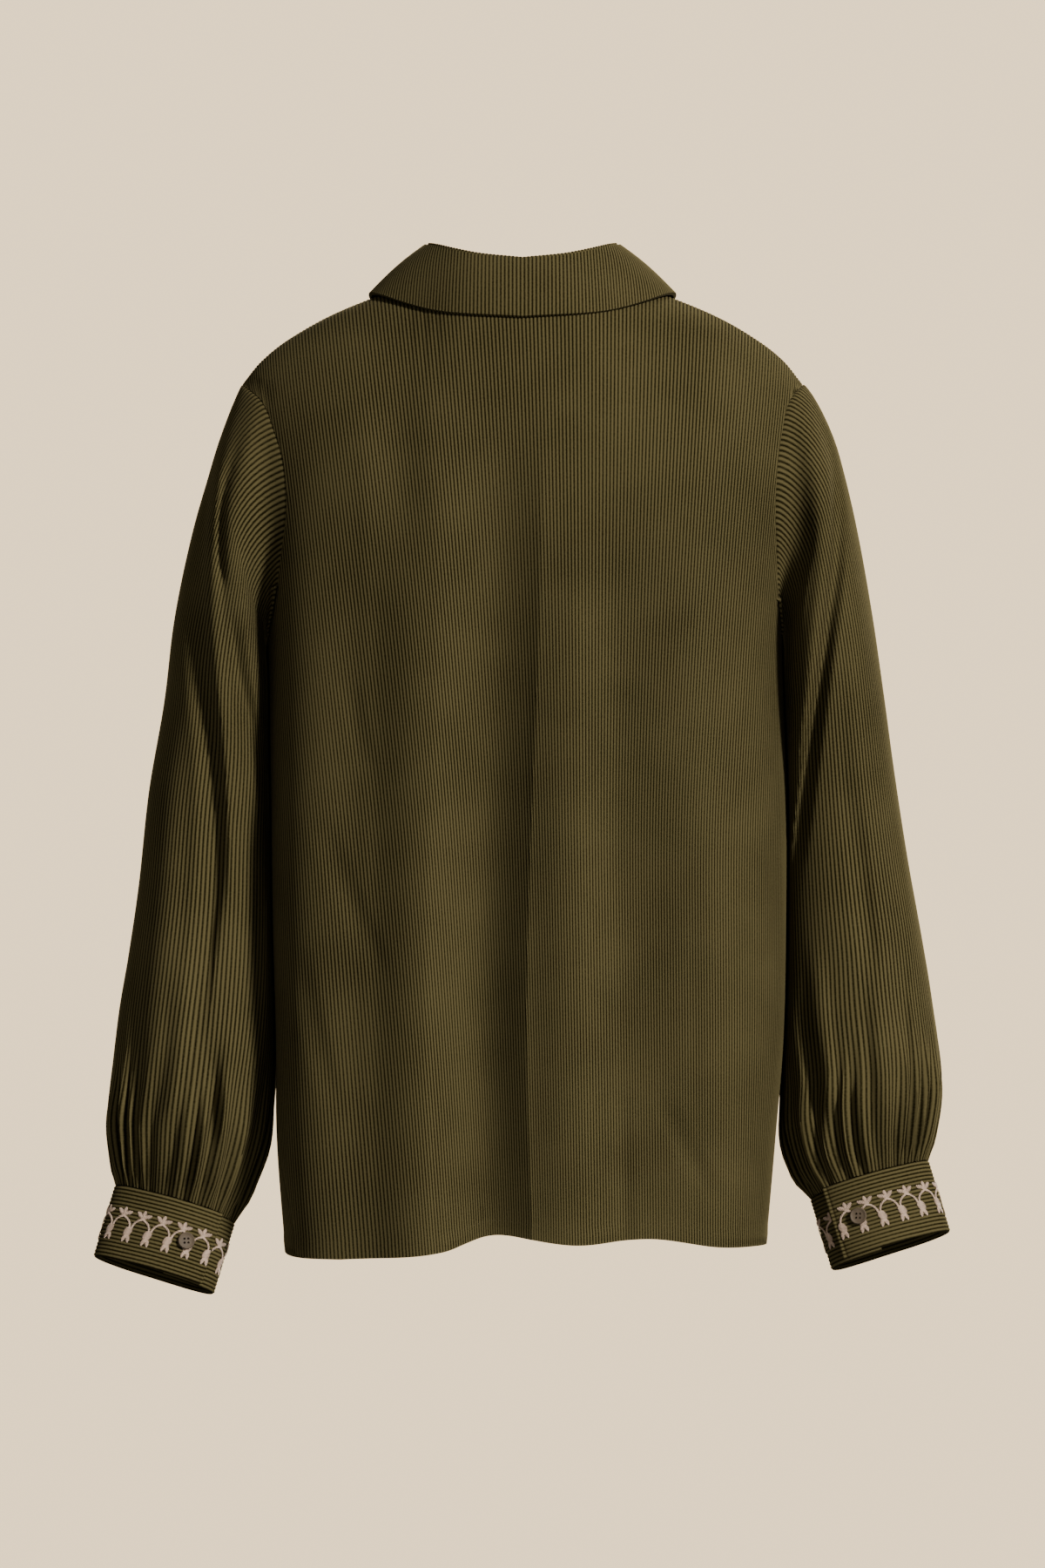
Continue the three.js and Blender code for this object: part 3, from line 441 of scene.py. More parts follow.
SLIT_TOP, SLIT_LAP_FULL, SLIT_TURN, LAP_SHARE, LAP_FADE = 0.85, 0.98, 6 / 48, 5 / 48, 0.12
SLIT_TOP_GAP, SLIT_BOTTOM_GAP = 0.6, 1.8
LAP_LIFT = DOUBLE_CLOTH + 0.8
UNDER_DROP = {Hand.LEFT: 1.5, Hand.RIGHT: 2.0}
UNDER_DROP_FROM, UNDER_DROP_FULL = 0.72, 0.95
CUFF_HIGH, CUFF_BELOW, CUFF_PROUD = 51.0, 0.5, 1.2
CUFF_BUTTON_ROUND, CUFF_BUTTON_DOWN = 0.07, 0.52

# The upper lap's end: a rolled edge, the sunk line behind it, and where the wales grow to full height
CUFF_ROLL, CUFF_ROLL_AT, CUFF_ROLL_WIDE = 0.5, 1.3, 0.8
CUFF_SUNK_AT, CUFF_SUNK_WIDE = 3.2, 0.7
CUFF_WALES_FROM, CUFF_WALES_FULL = 0.3, 3.4
CUFF_EDGE_DOWN = 1.6
BORDER_FIRST = {Hand.LEFT: 9.4, Hand.RIGHT: 12.6}

COLLAR_FOLD = Table(
    "turn z",
    [
        (0, 22.5),
        (27, 25.8),
        (45, 29.6),
        (63, 33.2),
        (78, 34.8),
        (90, 35),
        (115, 27),
        (150, 3),
        (190, -21),
    ],
)
FALL_EDGE = Table(
    "turn x z",
    [
        (0, 0, -18),
        (28, 46, -15),
        (58, 84, -8.5),
        (78, 102, -2.5),
        (92, 106, -2.5),
        (112, 103, -10),
        (140, 84, -48),
        (170, 56, -96),
    ],
)
STAND_END, STAND_INSET, STAND_LEAN, STAND_LAP = 188.0, 0.6, 2.0, DOUBLE_CLOTH + 0.5
STAND_LAP_FROM, STAND_LAP_FULL = 150.0, 172.0
FALL_END, FALL_ROLL, FALL_ROLL_SHARE, FALL_CREST = 168.0, 4.2, 0.2, 1.5
FALL_CLEAR, FALL_BULGE, FALL_SIDE_BULGE = DOUBLE_CLOTH + 1.5, 3.0, 2.0
SHOULDER_FULL, SHOULDER_END = 20.0, 60.0
FRONT_BUTTON_COUNT, FRONT_BUTTON_Z, FRONT_BUTTON_PITCH = 7, -78.0, 86.0
FLAT = np.array([1.0, 1.0, 0.0])


def soft(value: Array, low: float, high: float) -> Array:
    """0 below `low`, 1 above `high`, with a soft start and end."""
    share = np.clip((value - low) / (high - low), 0, 1)
    return share * share * (3 - 2 * share)


def mix(low: Array, high: Array, share: Array) -> Array:
    """The value that lies a share of the way from low to high."""
    return low + (high - low) * share


def stack(x: Array, y: Array, z: Array) -> Array:
    """Points from their coordinates, which may differ in shape."""
    return np.stack(np.broadcast_arrays(x, y, z), axis=-1).astype(float)


def unit(vectors: Array) -> Array:
    """Vectors of length 1."""
    return vectors / np.maximum(np.linalg.norm(vectors, axis=-1, keepdims=True), 1e-12)


def wale_ridge(columns: Array) -> Array:
    """How far each column of points stands out: tops and grooves by turns, in one row."""
    return WALE_HIGH / 2 * np.where(columns % 2 == 0, 1.0, -1.0)[None, :]


def walked_along(points: Array) -> Array:
    """How far along a line of points each of them lies."""
    return np.concatenate([[0], np.cumsum(np.linalg.norm(np.diff(points, axis=0), axis=-1))])


class QuarterRound:
    """A quarter of a rounded oblong, walked at an even pace from its flat back to its side."""

    def __init__(self, power: float, aspect: float, steps: int = 400) -> None:
        """Walks the quarter once.

        Args:
            power: how square the oblong is.
            aspect: its depth over its half width.
            steps: how many steps the walk has.
        """
        angle = np.linspace(0, math.pi / 2, steps + 1)
        self.side = np.sin(angle) ** (2 / power)
        self.depth = np.abs(np.cos(angle)) ** (2 / power)
        step = np.hypot(np.diff(self.side), aspect * np.diff(self.depth))
        length = np.concatenate([[0], np.cumsum(step)])
        self.length = float(length[-1])
        self.share = length / length[-1]

    def at(self, share: Array) -> tuple[Array, Array]:
        """The side and depth at a share of the walk."""
        return np.interp(share, self.share, self.side), np.interp(share, self.share, self.depth)

    def share_of(self, side: Array) -> Array:
        """The share of the walk at which a side is reached."""
        return np.interp(side, self.side, self.share)


ROUND = QuarterRound(SQUARENESS, ROUND_ASPECT)


def fold_push(folds: list[Fold], x: Array, z: Array) -> Array:
    """How far a list of folds moves the cloth at each place."""
    total = np.zeros(np.broadcast(x, z).shape)
    for fold in folds:
        total = total + fold.push(x, z)
    return total


class BodyForm:
    """The form of the shirt's body, from its tables."""

    def __init__(self, folds: dict[Face, list[Fold]]) -> None:
        """Keeps the folds of the back and the front."""
        self.folds = folds

    @staticmethod
    def top_line(face: Face, x: Array) -> tuple[Array, Array]:
        """The depth and height of the top edge: the neck edge, then the shoulder seam."""
        out = np.abs(x)
        inside = out < NECK_HALF
        circle = np.sqrt(np.clip(1 - (out / NECK_HALF) ** 2, 0, 1))
        deep, low = (NECK_BACK, NECK_BACK_Z) if face is Face.BACK else (-NECK_FRONT, NECK_FRONT_Z)
        y = np.where(inside, deep * circle, 0)
        z = np.where(inside, mix(NECK_SIDE_Z, low, circle), SHOULDER.read("z", out))
        return y, z

    @staticmethod
    def half_width(hand: Hand, z: Array) -> Array:
        """The half width of the body's round at a height."""
        return BODY.read(hand.word, z)

    def y_at(self, face: Face, hand: Hand, x: Array, z: Array) -> Array:
        """Where the body's surface lies, front to back, softened below the corner of the neck."""
        shares = [share * self.plain_y(face, hand, x + step, z) for step, share in NECK_KINK_STEPS]
        low = soft(self.top_line(face, x)[1] - z, 0, NECK_KINK_DEEP)
        inside = 1 - soft(np.abs(x), NECK_KINK_FROM, NECK_KINK_TO)
        return mix(self.plain_y(face, hand, x, z), sum(shares), low * inside)

    def plain_y(self, face: Face, hand: Hand, x: Array, z: Array) -> Array:
        """Where the body's surface lies, front to back, without its folds."""
        wide = np.minimum(1, np.abs(x) / self.half_width(hand, z))
        full = face.value * BODY.read(face.word, z) * (1 - wide**SQUARENESS) ** (1 / SQUARENESS)
        top_y, top_z = self.top_line(face, x)
        fall = np.clip((top_z - z) / SHOULDER_ROUND[face], 0, 1)
        cap = np.sqrt(1 - (1 - fall) ** 2)
        return top_y + (full - top_y) * cap

    def fold_at(self, face: Face, hand: Hand, x: Array, z: Array) -> Array:
        """The fold push on the body, fading out towards the side seams."""
        wide = np.minimum(1, np.abs(x) / self.half_width(hand, z))
        return face.value * fold_push(self.folds[face], x, z) * (1 - soft(wide, SIDE_CALM, 1))

    def point(self, face: Face, hand: Hand, share: Array, down: Array) -> Array:
        """A point of the back or a front.

        Args:
            face: the back or the front.
            hand: the side.
            share: from the centre (0) to the seam (1), below 0 into the front's lap.
            down: from the top edge (0) to the underarm (1) and the hem (2).

        Returns:
            The points, in millimetres.
        """
        share, down = np.broadcast_arrays(np.asarray(share, float), np.asarray(down, float))
        upper = self._upper(face, hand, share, np.clip(down, 0, 1))
        lower = self._lower(face, hand, share, np.clip(down, 1, 2))
        return np.where((down <= 1)[..., None], upper, lower)

    def _upper(self, face: Face, hand: Hand, share: Array, down: Array) -> Array:
        """The body above the underarm."""
        drop = down**ROW_CROWDING
        _, top_z = self.top_line(face, share * SHOULDER_TIP_X)
        z = mix(top_z, UNDERARM_Z, drop)
        edge = ARMHOLE.read(hand.word, z)
        if face is Face.FRONT:
            edge = edge - ARMHOLE.read("scoop", z)
        even = np.where(share > 0, ROUND.at(share)[0], share)
        x = hand.value * edge * mix(share, even, drop)
        y = self.y_at(face, hand, x, z) + self.fold_at(face, hand, x, z)
        return stack(x, y, z)

    def _lower(self, face: Face, hand: Hand, share: Array, down: Array) -> Array:
        """The body below the underarm."""
        guess = hand.value * self.half_width(hand, HEM_Z) * ROUND.at(share)[0]
        plain = 0 if face is Face.BACK else 1 - soft(share, 0.5, 1)
        hem = mix(BACK_HEM.read("z", guess), HEM_Z, plain)
        z = mix(UNDERARM_Z, hem, down - 1)
        swing = self.swing(hand, z)
        turn = share * (1 - face.value * swing)
        side, depth = ROUND.at(np.where(turn > 1, 2 - turn, turn))
        backward = (turn <= 1) if face is Face.BACK else (turn > 1)
        width = self.half_width(hand, z)
        x = hand.value * width * np.where(turn < 0, turn, side)
        deep = np.where(backward, BODY.read("back", z), -BODY.read("front", z))
        folds = [self.fold_at(side, hand, x, z) for side in (Face.BACK, Face.FRONT)]
        return stack(x, deep * depth + np.where(backward, *folds), z)

    @staticmethod
    def swing(hand: Hand, z: Array) -> Array:
        """How far the left side seam has swung to the back at a height."""
        amount = SIDE_SWING_SHARE if hand is Hand.LEFT else 0.0
        return amount * soft(-z, SIDE_SWING_FROM, SIDE_SWING_TO)

    def cloth_distance(self, face: Face, hand: Hand, share: Array, point: Array) -> Array:
        """How far from the centre line, along the cloth, points at these shares lie."""
        z = point[..., 2]
        width = self.half_width(hand, z)
        turn = ROUND.share_of(np.minimum(1, np.abs(point[..., 0]) / width))
        below = share * (1 - face.value * self.swing(hand, z))
        walked = np.where(z < UNDERARM_Z - 1, below, turn)
        return hand.value * width * ROUND.length * np.where(share < 0, share, walked)


# How far the back's wales lean from upright, in degrees, by the cloth distance from the centre
WALE_LEAN = Table(
    "d upper lower",
    [
        (-240, -6, 0),
        (-160, -5, 0.5),
        (-100, -2.6, 0.6),
        (-60, -0.6, 0.8),
        (-20, 1.2, 1.2),
        (20, 3.4, 2.4),
        (60, 5.4, 4.2),
        (100, 7, 5.2),
        (150, 7.6, 4.6),
        (240, 6.5, 3),
    ],
)
LEAN_CHANGE = (300.0, 420.0)


class WaleFlow:
    """Follows the back's wales down from the shoulders, each on its own leaning line."""

    LINES, DEPTH = 261, 700

    def __init__(self, lean: Table, reach: float = 260.0, step: float = 10.0) -> None:
        """Walks every wale line once.

        Args:
            lean: the lean by cloth distance.
            reach: how far out the lines start.
            step: the height of a step.
        """
        self.step = step
        self.starts = np.linspace(-reach, reach, self.LINES)
        lines = [self.starts.copy()]
        for index in range(int(self.DEPTH / step)):
            here = lines[-1]
            share = soft(index * step, *LEAN_CHANGE)
            angle = mix(lean.read("upper", here), lean.read("lower", here), share)
            lines.append(here - step * np.tan(np.radians(angle)))
        self.lines = np.array(lines)

    def origin(self, distance: Array, z: Array) -> Array:
        """Where along the shoulders the wale through a place starts.

        Args:
            distance: the place's cloth distance from the centre.
            z: its height.

        Returns:
            The start of its wale, as a cloth distance.
        """
        level = np.clip(-np.asarray(z) / self.step, 0, len(self.lines) - 1.001)
        low = level.astype(int)
        result = np.zeros(distance.shape)
        for index in np.unique(low):
            here = low == index
            upper = np.interp(distance[here], self.lines[index], self.starts)
            under = np.interp(distance[here], self.lines[index + 1], self.starts)
            result[here] = mix(upper, under, level[here] - index)
        return result


def slopes(surface: Surface, u: Array, v: Array, outside: Surface) -> Array:
    """Outward normals of a surface, from short steps along it.

    Args:
        surface: the surface, by its two coordinates.
        u: the first coordinate of each place.
        v: the second coordinate of each place.
        outside: a rough outward direction for points, by the points and themselves again.

    Returns:
        One normal for each place.
    """
    along_u = surface(u + SLOPE_STEP, v) - surface(u - SLOPE_STEP, v)
    along_v = surface(u, v + SLOPE_STEP) - surface(u, v - SLOPE_STEP)
    normal = unit(np.cross(along_u, along_v))
    here = surface(u, v)
    sign = np.sign(np.sum(normal * outside(here, here), axis=-1, keepdims=True))
    return normal * np.where(sign == 0, 1, sign)


class ClothMesh:
    """A sheet of cloth from a grid of points, thickened to its inside."""

    def __init__(self, name: str, thick: float, finish: bpy.types.Material) -> None:
        """Keeps the sheet's name, thickness in millimetres and finish."""
        self.name = name
        self.thick = thick
        self.finish = finish

    def build(self, points: Array, normals: Array, marks: Array) -> bpy.types.Object:
        """Builds the sheet.

        Args:
            points: the outer face, by row and column, in millimetres.
            normals: the outward direction at each point.
            marks: each point's place on the cloth, across and along its wales, in wales.

        Returns:
            The finished object.
        """
        rows, columns = points.shape[:2]
        bm = bmesh.new()
        bmesh.ops.create_grid(bm, x_segments=columns - 1, y_segments=rows - 1, size=1)
        mesh = bpy.data.meshes.new(self.name)
        bm.to_mesh(mesh)
        plain = np.empty(len(mesh.vertices) * 3, np.float32)
        mesh.vertices.foreach_get("co", plain)
        plain = plain.reshape(-1, 3)
        column = np.rint((plain[:, 0] + 1) / 2 * (columns - 1)).astype(int)
        row = np.rint((plain[:, 1] + 1) / 2 * (rows - 1)).astype(int)
        placed = points[row, column] * MM
        mesh.vertices.foreach_set("co", placed.astype(np.float32).ravel())
        corner = np.empty(len(mesh.loops), np.int32)
        mesh.loops.foreach_get("vertex_index", corner)
        layer = mesh.uv_layers.new(name="cloth")
        layer.data.foreach_set("uv", marks[row, column][corner].astype(np.float32).ravel())
        inward = mesh.attributes.new("inward", "FLOAT_VECTOR", "POINT")
        ways = -normals[row, column] * self.thick * MM
        inward.data.foreach_set("vector", ways.astype(np.float32).ravel())
        bm.clear()
        bm.from_mesh(mesh)
        bmesh.ops.remove_doubles(bm, verts=bm.verts, dist=0.02 * MM)
        way = bm.verts.layers.float_vector["inward"]
        copied = bmesh.ops.extrude_face_region(bm, geom=bm.faces[:], use_keep_orig=True)["geom"]
        for part in copied:
            if isinstance(part, bmesh.types.BMVert):
                part.co += part[way]
        bmesh.ops.recalc_face_normals(bm, faces=bm.faces)
        bm.verts.layers.float_vector.remove(way)
        bm.to_mesh(mesh)
        bm.free()
        return finish_mesh(mesh, self.finish)


def finish_mesh(
    mesh: bpy.types.Mesh, finish: bpy.types.Material, angle: float = 62.0
) -> bpy.types.Object:
    """Shades a mesh smooth with sharp edges over an angle, and puts it in the scene."""
    mesh.polygons.foreach_set("use_smooth", [True] * len(mesh.polygons))
    mesh.set_sharp_from_angle(angle=math.radians(angle))
    mesh.materials.append(finish)
    made = bpy.data.objects.new(mesh.name, mesh)
    bpy.context.scene.collection.objects.link(made)
    return made


class Panel:
    """A back or front panel, its columns of points on its wales."""

    COLUMN_SAMPLES = 700
    UPPER_ROWS = 46
    LOWER_ROWS = 62

    def __init__(self, name: str, face: Face, form: BodyForm, finish: bpy.types.Material) -> None:
        """Keeps the panel's name, side of the body, form and finish."""
        self.name = name
        self.face = face
        self.form = form
        self.finish = finish

    def surface(self, u: Array, v: Array) -> Array:
        """The panel's plain surface by signed share and how far down."""
        left = self.form.point(self.face, Hand.LEFT, u, v)
        right = self.form.point(self.face, Hand.RIGHT, -u, v)
        return np.where((u >= 0)[..., None], left, right)

    def distance(self, u: Array, v: Array) -> Array:
        """The cloth distance of places, which is the same all along a wale."""
        points = self.surface(u, v)
        left = self.form.cloth_distance(self.face, Hand.LEFT, u, points)
        right = self.form.cloth_distance(self.face, Hand.RIGHT, -u, points)
        return np.where(u >= 0, left, right)

    def limits(self) -> tuple[float, float]:
        """The signed shares of the panel's two edges."""
        return -1 + SEAM_TRIM_SHARE, 1 - SEAM_TRIM_SHARE

    def rows(self) -> Array:
        """How far down each row of points lies."""
        upper = np.linspace(0, 1, self.UPPER_ROWS + 1)
        lower = np.linspace(1, 2, self.LOWER_ROWS + 1)
        return np.concatenate([upper, lower[1:]])

    def relief(self, u: Array, v: Array) -> Array:
        """What is raised on the panel, such as its hem, in millimetres."""
        height = self.surface(u, v)[..., 2]
        hem = self.surface(u, np.full_like(v, 2.0))[..., 2]
        above = height - hem
        rolled = HEM_OUT * (1 - soft(above, HEM_WIDE - HEM_SOFT, HEM_WIDE + HEM_SOFT))
        drawn = -HEM_DRAWN * np.exp(-(((above - HEM_WIDE) / HEM_DRAWN_WIDE) ** 2))
        return rolled + drawn

    def normals(self, u: Array, v: Array) -> Array:
        """The directions out of the panel, measured just inside its top edge and its hem."""
        return slopes(self.surface, u, np.clip(v, PANEL_END_V, 2 - PANEL_END_V), outward)

    def build(self) -> bpy.types.Object:
        """Builds the panel with its wales."""
        low, high = self.limits()
        down = self.rows()
        fine = np.linspace(low, high, self.COLUMN_SAMPLES)
        u_fine, v_fine = np.meshgrid(fine, down)
        spread = self.distance(u_fine, v_fine)
        first = math.floor(spread.min() / WALE * 2)
        last = math.ceil(spread.max() / WALE * 2)
        columns = np.arange(first, last + 1)
        u = np.array([np.interp(columns * WALE / 2, line, fine) for line in spread])
        v = np.repeat(down[:, None], len(columns), axis=1)
        normals = self.normals(np.clip(u, low + PANEL_END_U, high - PANEL_END_U), v)
        raised = self.relief(u, v) + wale_ridge(columns) * self.wale_strength(u, v)
        points = self.surface(u, v) + normals * raised[..., None]
        marks = np.stack([np.broadcast_to(columns / 2.0, u.shape), points[..., 2] / WALE], axis=-1)
        return ClothMesh(self.name, CLOTH, self.finish).build(points, normals, marks)

    def wale_strength(self, u: Array, v: Array) -> Array:
        """How high the wales stand: they are pressed flat at the seams."""
        return soft(1 - np.abs(u), 0.002, 0.01) * soft(2 - v, 0.0, 0.004)


class FrontPanel(Panel):
    """A front panel, which ends a little past the middle."""

    def __init__(self, name: str, hand: Hand, form: BodyForm, finish: bpy.types.Material) -> None:
        """Keeps the hand too."""
        super().__init__(name, Face.FRONT, form, finish)
        self.hand = hand

    def limits(self) -> tuple[float, float]:
        """The shares of the lap's edge and of the seam."""
        return -FRONT_LAP / SHOULDER_TIP_X, 1 - SEAM_TRIM_SHARE

    def surface(self, u: Array, v: Array) -> Array:
        """The front's surface. The left one goes under the right one."""
        points = self.form.point(self.face, self.hand, u, v)
        if self.hand is Hand.LEFT:
            under = 1 - soft(points[..., 0], FRONT_UNDER_TO, FRONT_UNDER_FROM)
            points[..., 1] += under * (CLOTH + 4 * SEAM_TRIM)
        return points

    def at_height(self, x: float, z: Array) -> tuple[Array, Array]:
        """Places on the front near its middle line by their height, and the directions out of it."""
        v = np.linspace(0.05, 1.95, 1200)
        u = np.full_like(v, x * self.hand.value / SHOULDER_TIP_X)
        down = np.interp(-np.asarray(z), -self.surface(u, v)[:, 2], v)
        share = np.full_like(down, u[0])
        normals = slopes(self.surface, share, down, outward)
        return self.surface(share, down) + normals * WALE_HIGH / 2, normals

    def distance(self, u: Array, v: Array) -> Array:
        """The cloth distance from the centre line."""
        points = self.form.point(self.face, self.hand, u, v)
        return np.abs(self.form.cloth_distance(self.face, self.hand, u, points)) * np.sign(u)


class BackPanel(Panel):
    """The back panel, with its leaning wales."""

    def __init__(self, name: str, form: BodyForm, finish: bpy.types.Material) -> None:
        """Walks the wales."""
        super().__init__(name, Face.BACK, form, finish)
        self.flow = WaleFlow(WALE_LEAN)

    def distance(self, u: Array, v: Array) -> Array:
        """Where the wale through each place starts at the shoulders."""
        return self.flow.origin(super().distance(u, v), self.surface(u, v)[..., 2])


def outward(here: Array, _: Array) -> Array:
    """A rough direction out of the body."""
    return here * FLAT + np.array([0.0, 0.0, 60.0])


class SleeveForm:
    """The form of one sleeve, from the armhole to the cuff."""

    def __init__(self, hand: Hand, body: BodyForm, folds: list[Fold]) -> None:
        """Keeps the hand, the body that the sleeve is sewn to, and the sleeve's folds."""
        self.hand = hand
        self.body = body
        self.folds = folds
        self.rings = SLEEVE_RINGS[hand]

    def ring(self, at: Array) -> dict[str, Array]:
        """Rings of the sleeve: their middles, directions and sizes."""
        at = np.asarray(at, float)
        sign = self.hand.value
        value = {name: self.rings.read(name, at) for name in RING_NAMES.split()[1:]}
        outer = stack(sign * value["outX"], value["shift"], value["outZ"])
        inner = stack(sign * value["inX"], value["shift"], value["inZ"])
        across = (outer - inner) / 2
        half = np.linalg.norm(across, axis=-1)
        across = unit(across)
        up = stack(-across[..., 2] * sign, 0, np.abs(across[..., 0]))
        lift = np.radians(value["lift"])[..., None]
        near = np.array([0.0, 1.0, 0.0]) * np.cos(lift) + up * np.sin(lift)
        down = unit(np.cross(across, near))
        down = np.where(down[..., 2:] > 0, -down, down)
        return {
            "middle": (outer + inner) / 2,
            "across": across,
            "near": near,
            "down": down,
            "half": half,
            "back": value["back"],
            "front": value["front"],
        }

    @staticmethod
    def ring_point(ring: dict[str, Array], turn: Array, grow: Array) -> Array:
        """Places on rings, from the inner side (0) over the back to the outer side (0.5)."""
        angle = 2 * math.pi * turn
        power = 2 / SLEEVE_SQUARENESS
        across = -np.sign(np.cos(angle)) * np.abs(np.cos(angle)) ** power
        near = np.sign(np.sin(angle)) * np.abs(np.sin(angle)) ** power
        deep = np.where(near > 0, ring["back"], ring["front"])
        side = (across * (ring["half"] + grow))[..., None] * ring["across"]
        return ring["middle"] + side + (near * (deep + grow))[..., None] * ring["near"]

    @staticmethod
    def lap_lift(turn: Array) -> Array:
        """The outward lift of the cuff's upper lap."""
        past = turn - SLIT_TURN
        return np.where(past < 0, 0, LAP_LIFT * (1 - soft(past, LAP_SHARE, LAP_SHARE + LAP_FADE)))

    def under_drop(self, turn: Array) -> Array:
        """How far the cuff's under lap hangs below its upper lap."""
        under = np.where(turn < SLIT_TURN, 1, soft(turn, UNDER_DROP_FROM, UNDER_DROP_FULL))
        return UNDER_DROP[self.hand] * under

    def clear_of_body(self, points: Array) -> Array:
        """Moves places out to the body's side where they would reach past it."""
        x, y, z = points[..., 0], points[..., 1], points[..., 2]
        depth = np.where(y >= 0, BODY.read("back", z), BODY.read("front", z))
        deep = np.minimum(1, np.abs(y) / depth)
        wide = self.body.half_width(self.hand, z) * (1 - deep**SQUARENESS) ** (1 / SQUARENESS)
        side = wide + CLEAR_GAP
        over = np.abs(x) - side
        near = (over + CLEAR_SOFT) ** 2 / (4 * CLEAR_SOFT)
        kept = np.where(np.abs(over) < CLEAR_SOFT, near, np.maximum(0, over))
        below = soft(UNDERARM_Z - z, -CLEAR_ABOVE, CLEAR_BELOW)
        return stack(self.hand.value * mix(np.abs(x), side + kept, below), y, z)

    def seam(self, turn: Array) -> Array:
        """The armhole seam by the turn, from the underarm up the back and down the front."""
        turn = turn - np.floor(turn)
        down = np.abs(1 - 2 * turn)
        ones = np.ones_like(turn)
        back = self.body.point(Face.BACK, self.hand, ones, down)
        front = self.body.point(Face.FRONT, self.hand, ones, down)
        return np.where((turn <= 0.5)[..., None], back, front)

    def gathers(self, turn: Array, at: Array) -> Array:
        """How far the gathers above the cuff stand out, each a little unlike the next."""
        drawn_in = mix(1, GATHER_SEAM, soft(at, GATHER_SEAM_FROM, 1))
        circle = 2 * math.pi * turn
        sway = sum(out * np.sin(count * circle + start) for count, out, start in GATHER_SWAY)
        change = sum(out * np.sin(count * circle + start) for count, out, start in GATHER_CHANGE)
        begin = GATHER_FROM + GATHER_STAGGER * change
        swell = GATHER_OUT * (1 + change) * soft((at - begin) / (GATHER_FULL - begin), 0, 1)
        count, out, along = GATHER_BEND
        bend = out * np.sin(count * circle + along * at)
        return swell * drawn_in * np.cos(GATHER_COUNT * circle + 2 * math.pi * sway + bend)

    def surface(self, turn: Array, at: Array) -> Array:
        """The sleeve's surface by turn and share of its length."""
        turn, at = np.broadcast_arrays(np.asarray(turn, float), np.asarray(at, float))
        wrapped = turn - np.floor(turn)
        ring = self.ring(at)
        near = np.sin(2 * math.pi * wrapped)
        lap = self.lap_lift(wrapped) * soft(at, SLIT_TOP, SLIT_LAP_FULL)
        points = self.ring_point(ring, wrapped, self.gathers(wrapped, at) + lap)
        points = points + (self.under_drop(wrapped) * soft(at, SLIT_TOP, 1))[..., None] * ring["down"]
        calm = soft(at, 0.005, 0.06) * (1 - soft(at, 0.9, 0.99))
        facing = np.sign(near) * soft(np.abs(near), 0.1, 0.7)
        points[..., 1] += fold_push(self.folds, np.abs(points[..., 0]), points[..., 2]) * calm * facing
        points = self.clear_of_body(points)
        return mix(self.seam(turn), points, self.head_share(at)[..., None])

    @staticmethod
    def head_share(at: Array) -> Array:
        """How far a place has come from the armhole seam to the sleeve's own rings."""
        start = soft(np.zeros(1), -0.02, 0.1)[0]
        return (soft(at, -0.02, 0.1) - start) / (1 - start)


